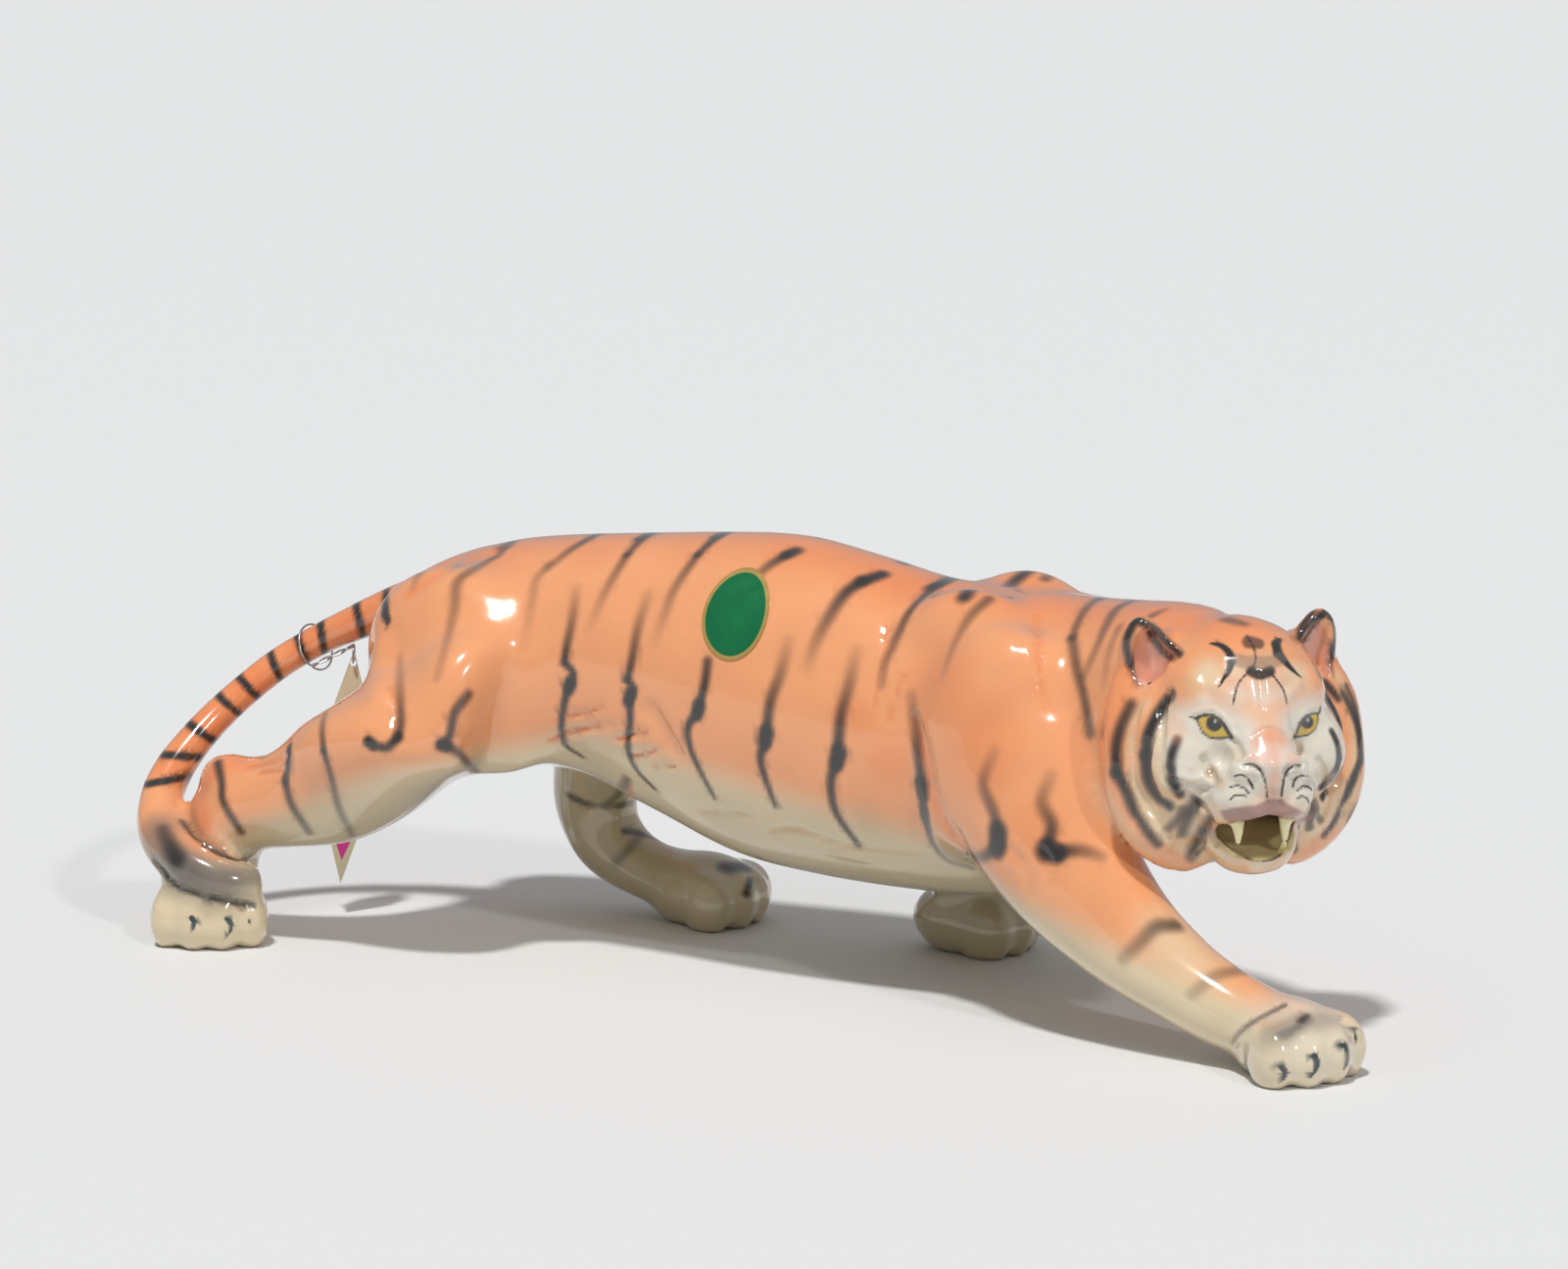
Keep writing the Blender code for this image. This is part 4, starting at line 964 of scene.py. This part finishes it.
def paintTiger(skin, strokes):
    points = coords(skin)
    colour = np.empty((len(points), 3), np.float32)
    height = points[:, 2] * 1000
    colour[:] = glazeColours["cream"]

    def lay(name, mask):
        colour[:] = colour * (1 - mask[:, None]) + np.array(glazeColours[name]) * mask[:, None]

    def fadeOf(name, value):
        return easeFade(value, *bodyFades[name])

    facing = normals(skin)[:, 2]
    creamTop = np.interp(points[:, 0] * 1000, creamLine["along"], creamLine["height"])
    lay("peach", 1 - fadeOf("cream", height + bodyFades["facingLift"] * facing - creamTop))
    # Painted shade: olive where the skin faces down under the belly, and on the inner sides of the legs
    below = fadeOf("bellyFacing", facing) * fadeOf("bellyTop", height) * (1 - fadeOf("bellyFloor", height))
    lay("oliveShade", below * fadeOf("bellyFront", points[:, 0]) * 0.5)
    inward = normals(skin)[:, 1] * np.sign(points[:, 1])
    legs = fadeOf("legTop", height) * fadeOf("legSide", -np.abs(points[:, 1]))
    lay("oliveShade", fadeOf("legFacing", inward) * legs * fadeOf("legEnd", np.abs(points[:, 0])) * 0.55)
    # Airbrushed colours; the olive sprays among them are painted shade
    for name in ("orange", "cream", "white", "oliveShade", "grey"):
        lay(name, sprayMask(points, sprays[name]) * 0.9)
    fromMask = np.linalg.norm(toHead(points) - np.array(tiger["maskCentre"]), axis=1)
    lay("white", easeFade(fromMask, *tiger["maskFade"]))
    paintRuff(points, lay)

    for name, start, end, startDark, endDark, core, places in strokes:
        mask = lineMask(points, places, start, end, core, startDark, endDark)
        lay(name, 1 - (1 - mask) ** stripeLook["deepen"] if name == "soot" else mask)
    paintFace(points, lay)
    layer = skin.data.attributes.new("paint", "FLOAT_COLOR", "POINT")
    opaque = np.hstack([colour, np.ones((len(colour), 1), np.float32)])
    layer.data.foreach_set("color", opaque.astype(np.float32).ravel())


def makeGlaze():
    made, tree, shader = newMaterial("paintedGlaze", Roughness=0.16)
    shader.inputs["Coat Weight"].default_value = 1.0
    shader.inputs["Coat Roughness"].default_value = 0.03
    paint = addNode(tree, "ShaderNodeAttribute", {"attribute_name": "paint"})
    place = addNode(tree, "ShaderNodeTexCoord", output=3)
    plugColour(tree, shader, paint, addNoise(tree, place, 60.0, 4.0) * 0.18 + 0.91)
    plugBump(tree, shader, addNoise(tree, place, 90.0, 2.0), 0.08, 0.001)
    return made


clay = makeClay()
carveClay(clay)
print("stage: clay carved,", len(clay.data.polygons), "faces")
strokes = findStrokes(clay)
skin = makeSkin(clay, strokes)
bpy.data.objects.remove(clay, do_unlink=True)
print("stage: skin laid,", sum(len(face.vertices) - 2 for face in skin.data.polygons), "triangles")
paintTiger(skin, strokes)
skin.data.materials.append(makeGlaze())
pick(skin)
bpy.ops.object.shade_smooth()
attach(skin, "root")
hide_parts("tiger")
print("stage: tiger painted")

# The foil label and the card, in metres and degrees
label = {"centre": Vector((-0.0049, -0.080, 0.1272)), "width": 0.0245, "height": 0.0288, "lean": -8,
         "gap": 0.00012, "thickness": 0.0003, "spokes": 72}
card = {"hole": Vector((-0.1755, -0.0005, 0.0915)), "facing": -62, "lean": -4, "top": 0.0048,
        "length": 0.085, "width": 0.0172, "margin": 0.0020, "fieldRise": 0.0084, "fieldSlope": 0.39}


def makeLabel():
    deselectAll()
    bpy.ops.mesh.primitive_circle_add(vertices=label["spokes"], radius=1, fill_type="TRIFAN")
    foil = bpy.context.object
    foil.name = "foilLabelSkin"
    bpy.ops.object.mode_set(mode="EDIT")
    bpy.ops.mesh.subdivide(number_cuts=7)
    bpy.ops.object.mode_set(mode="OBJECT")
    flat = coords(foil)
    reach = np.linalg.norm(flat, axis=1)
    foil.data.attributes.new("reach", "FLOAT", "POINT").data.foreach_set("value", reach.astype(np.float32))
    foil.scale = (label["width"] / 2, label["height"] / 2, 1)
    setPlace(foil)
    foil.rotation_euler = (math.radians(90), math.radians(label["lean"]), 0)
    foil.location = label["centre"]
    setPlace(foil)
    addModifier(foil, "SHRINKWRAP", target=skin, wrap_method="PROJECT", use_project_y=True,
                use_positive_direction=True, wrap_mode="ABOVE_SURFACE", offset=label["gap"])
    addModifier(foil, "SOLIDIFY", thickness=label["thickness"], offset=1.0)
    made, tree, shader = newMaterial("greenFoil", Roughness=0.3, Metallic=0.55)
    rim = addNode(tree, "ShaderNodeAttribute", {"attribute_name": "reach"}, output=2)
    stops = [(0.0, (0.012, 0.235, 0.085, 1)), (0.895, (0.010, 0.20, 0.07, 1)),
             (0.91, (0.62, 0.42, 0.13, 1)), (1.0, (0.52, 0.34, 0.10, 1))]
    place = addNode(tree, "ShaderNodeTexCoord", output=3)
    wear = addNoise(tree, place, 150.0, 2.0)
    colour = addNode(tree, "ShaderNodeValToRGB", {"stops": stops}, {0: rim})
    plugColour(tree, shader, colour, wear * 0.24 + 0.88)
    plug(tree, wear * 0.25 + 0.18, shader.inputs["Roughness"])
    plugBump(tree, shader, wear, 0.12, 0.0004)
    foil.data.materials.append(made)
    return foil


def makeWire():
    wire = copyNode("tag_wire", "wireTie")
    addModifier(wire, "SUBSURF", levels=1, render_levels=1)
    made, tree, shader = newMaterial("steelWire", Metallic=1.0)
    place = addNode(tree, "ShaderNodeTexCoord", output=3)
    streak = addNoise(tree, place, 900.0, 3.0)
    tone = [(0.3, (0.36, 0.36, 0.37, 1)), (0.7, (0.66, 0.66, 0.68, 1))]
    steel = addNode(tree, "ShaderNodeValToRGB", {"stops": tone}, {0: streak})
    plug(tree, steel, shader.inputs["Base Color"])
    plug(tree, streak * 0.2 + 0.16, shader.inputs["Roughness"])
    wire.data.materials.append(made)
    return wire


def makeCard():
    tag = copyNode("hang_tag", "hangTagCard")
    addModifier(tag, "BEVEL", width=0.00012, segments=2, limit_method="ANGLE")
    facing = math.radians(card["facing"])
    out = Vector((math.cos(facing), math.sin(facing), 0))
    turn = Matrix.Rotation(math.radians(card["lean"]), 3, out)
    across = turn @ Vector((0, 0, 1)).cross(out)
    up = turn @ Vector((0, 0, 1))
    made, tree, shader = newMaterial("printedCard", Roughness=0.62)
    place = addNode(tree, "ShaderNodeTexCoord", output=3)
    fromHole = addNode(tree, "ShaderNodeVectorMath", {"operation": "SUBTRACT"}, {0: place, 1: card["hole"]})
    side = addNode(tree, "ShaderNodeVectorMath", {"operation": "DOT_PRODUCT"}, {0: fromHole, 1: across}, 1)
    rise = addNode(tree, "ShaderNodeVectorMath", {"operation": "DOT_PRODUCT"}, {0: fromHole, 1: up}, 1)
    outward = addNode(tree, "ShaderNodeMath", {"operation": "ABSOLUTE"}, {0: side})
    low = card["top"] - card["length"] + card["fieldRise"]
    edge = (rise - low) * card["fieldSlope"] - outward
    straight = card["width"] / 2 - card["margin"] - outward
    halfway = card["top"] - card["length"] * 0.45 - rise
    inside = edge.maths("MINIMUM", straight).maths("MINIMUM", halfway)
    grain = addNoise(tree, place, 420.0, 4.0)
    field = inside.maths("GREATER_THAN", 0.0)
    printed = addNode(tree, "ShaderNodeMix", {"data_type": "RGBA"}, {0: field, 6: (0.70, 0.64, 0.44, 1),
                                                                    7: (0.70, 0.04, 0.30, 1)}, 2)
    plugColour(tree, shader, printed, grain * 0.24 + 0.88)
    plugBump(tree, shader, grain, 0.15, 0.0003)
    tag.data.materials.append(made)
    return tag


for make, node, slot in (
    (makeLabel, "foil_label", "green_foil"),
    (makeWire, "tag_wire", "steel_wire"),
    (makeCard, "hang_tag", "card"),
):
    piece = make()
    pick(piece)
    bpy.ops.object.shade_smooth_by_angle(angle=math.radians(35))
    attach(piece, "root")
    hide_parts(node)
    print("stage:", piece.name)

studio = {
    "floorColour": (0.76, 0.76, 0.755),
    "worldColour": (0.93, 0.96, 1.0),
    "worldStrength": 0.36,
    "suns": (
        ("keySun", (0.05, -0.38, 0.92), 5, 2.2),
        ("rightSun", (1.0, -0.60, 0.75), 4, 0.6),
    ),
}


def makeStudio():
    deselectAll()
    bpy.ops.mesh.primitive_plane_add(size=60, location=(0, 0, -0.0002))
    floor = bpy.context.object
    floor.name = "studioFloor"
    setPlace(floor)
    made, tree, shader = newMaterial("paleFloor", Roughness=0.7)
    shader.inputs["Base Color"].default_value = fourColour(studio["floorColour"])
    floor.data.materials.append(made)
    world = bpy.data.worlds.new("studioWorld")
    bpy.context.scene.world = world
    world.use_nodes = True
    sky = world.node_tree.nodes["Background"]
    sky.inputs["Color"].default_value = fourColour(studio["worldColour"])
    sky.inputs["Strength"].default_value = studio["worldStrength"]
    for name, place, spread, power in studio["suns"]:
        bpy.ops.object.light_add(type="SUN", location=place)
        lamp = bpy.context.object
        lamp.name = name
        lamp.data.angle = math.radians(spread)
        lamp.data.energy = power
        lamp.rotation_euler = (-Vector(place)).to_track_quat("-Z", "Y").to_euler()


def makeCamera():
    deselectAll()
    bpy.ops.object.camera_add(location=photo["place"])
    camera = bpy.context.object
    camera.name = "photoCamera"
    turn = Matrix((rightDir, upDir, -lookDir)).transposed()
    camera.rotation_euler = turn.to_euler()
    camera.data.sensor_width = photo["sensor"]
    camera.data.lens = photo["focalPixels"] / photo["width"] * photo["sensor"]
    camera.data.clip_start = 0.05
    bpy.context.scene.camera = camera
    bpy.context.scene.view_settings.view_transform = "Standard"


makeStudio()
makeCamera()
print("stage: studio ready")
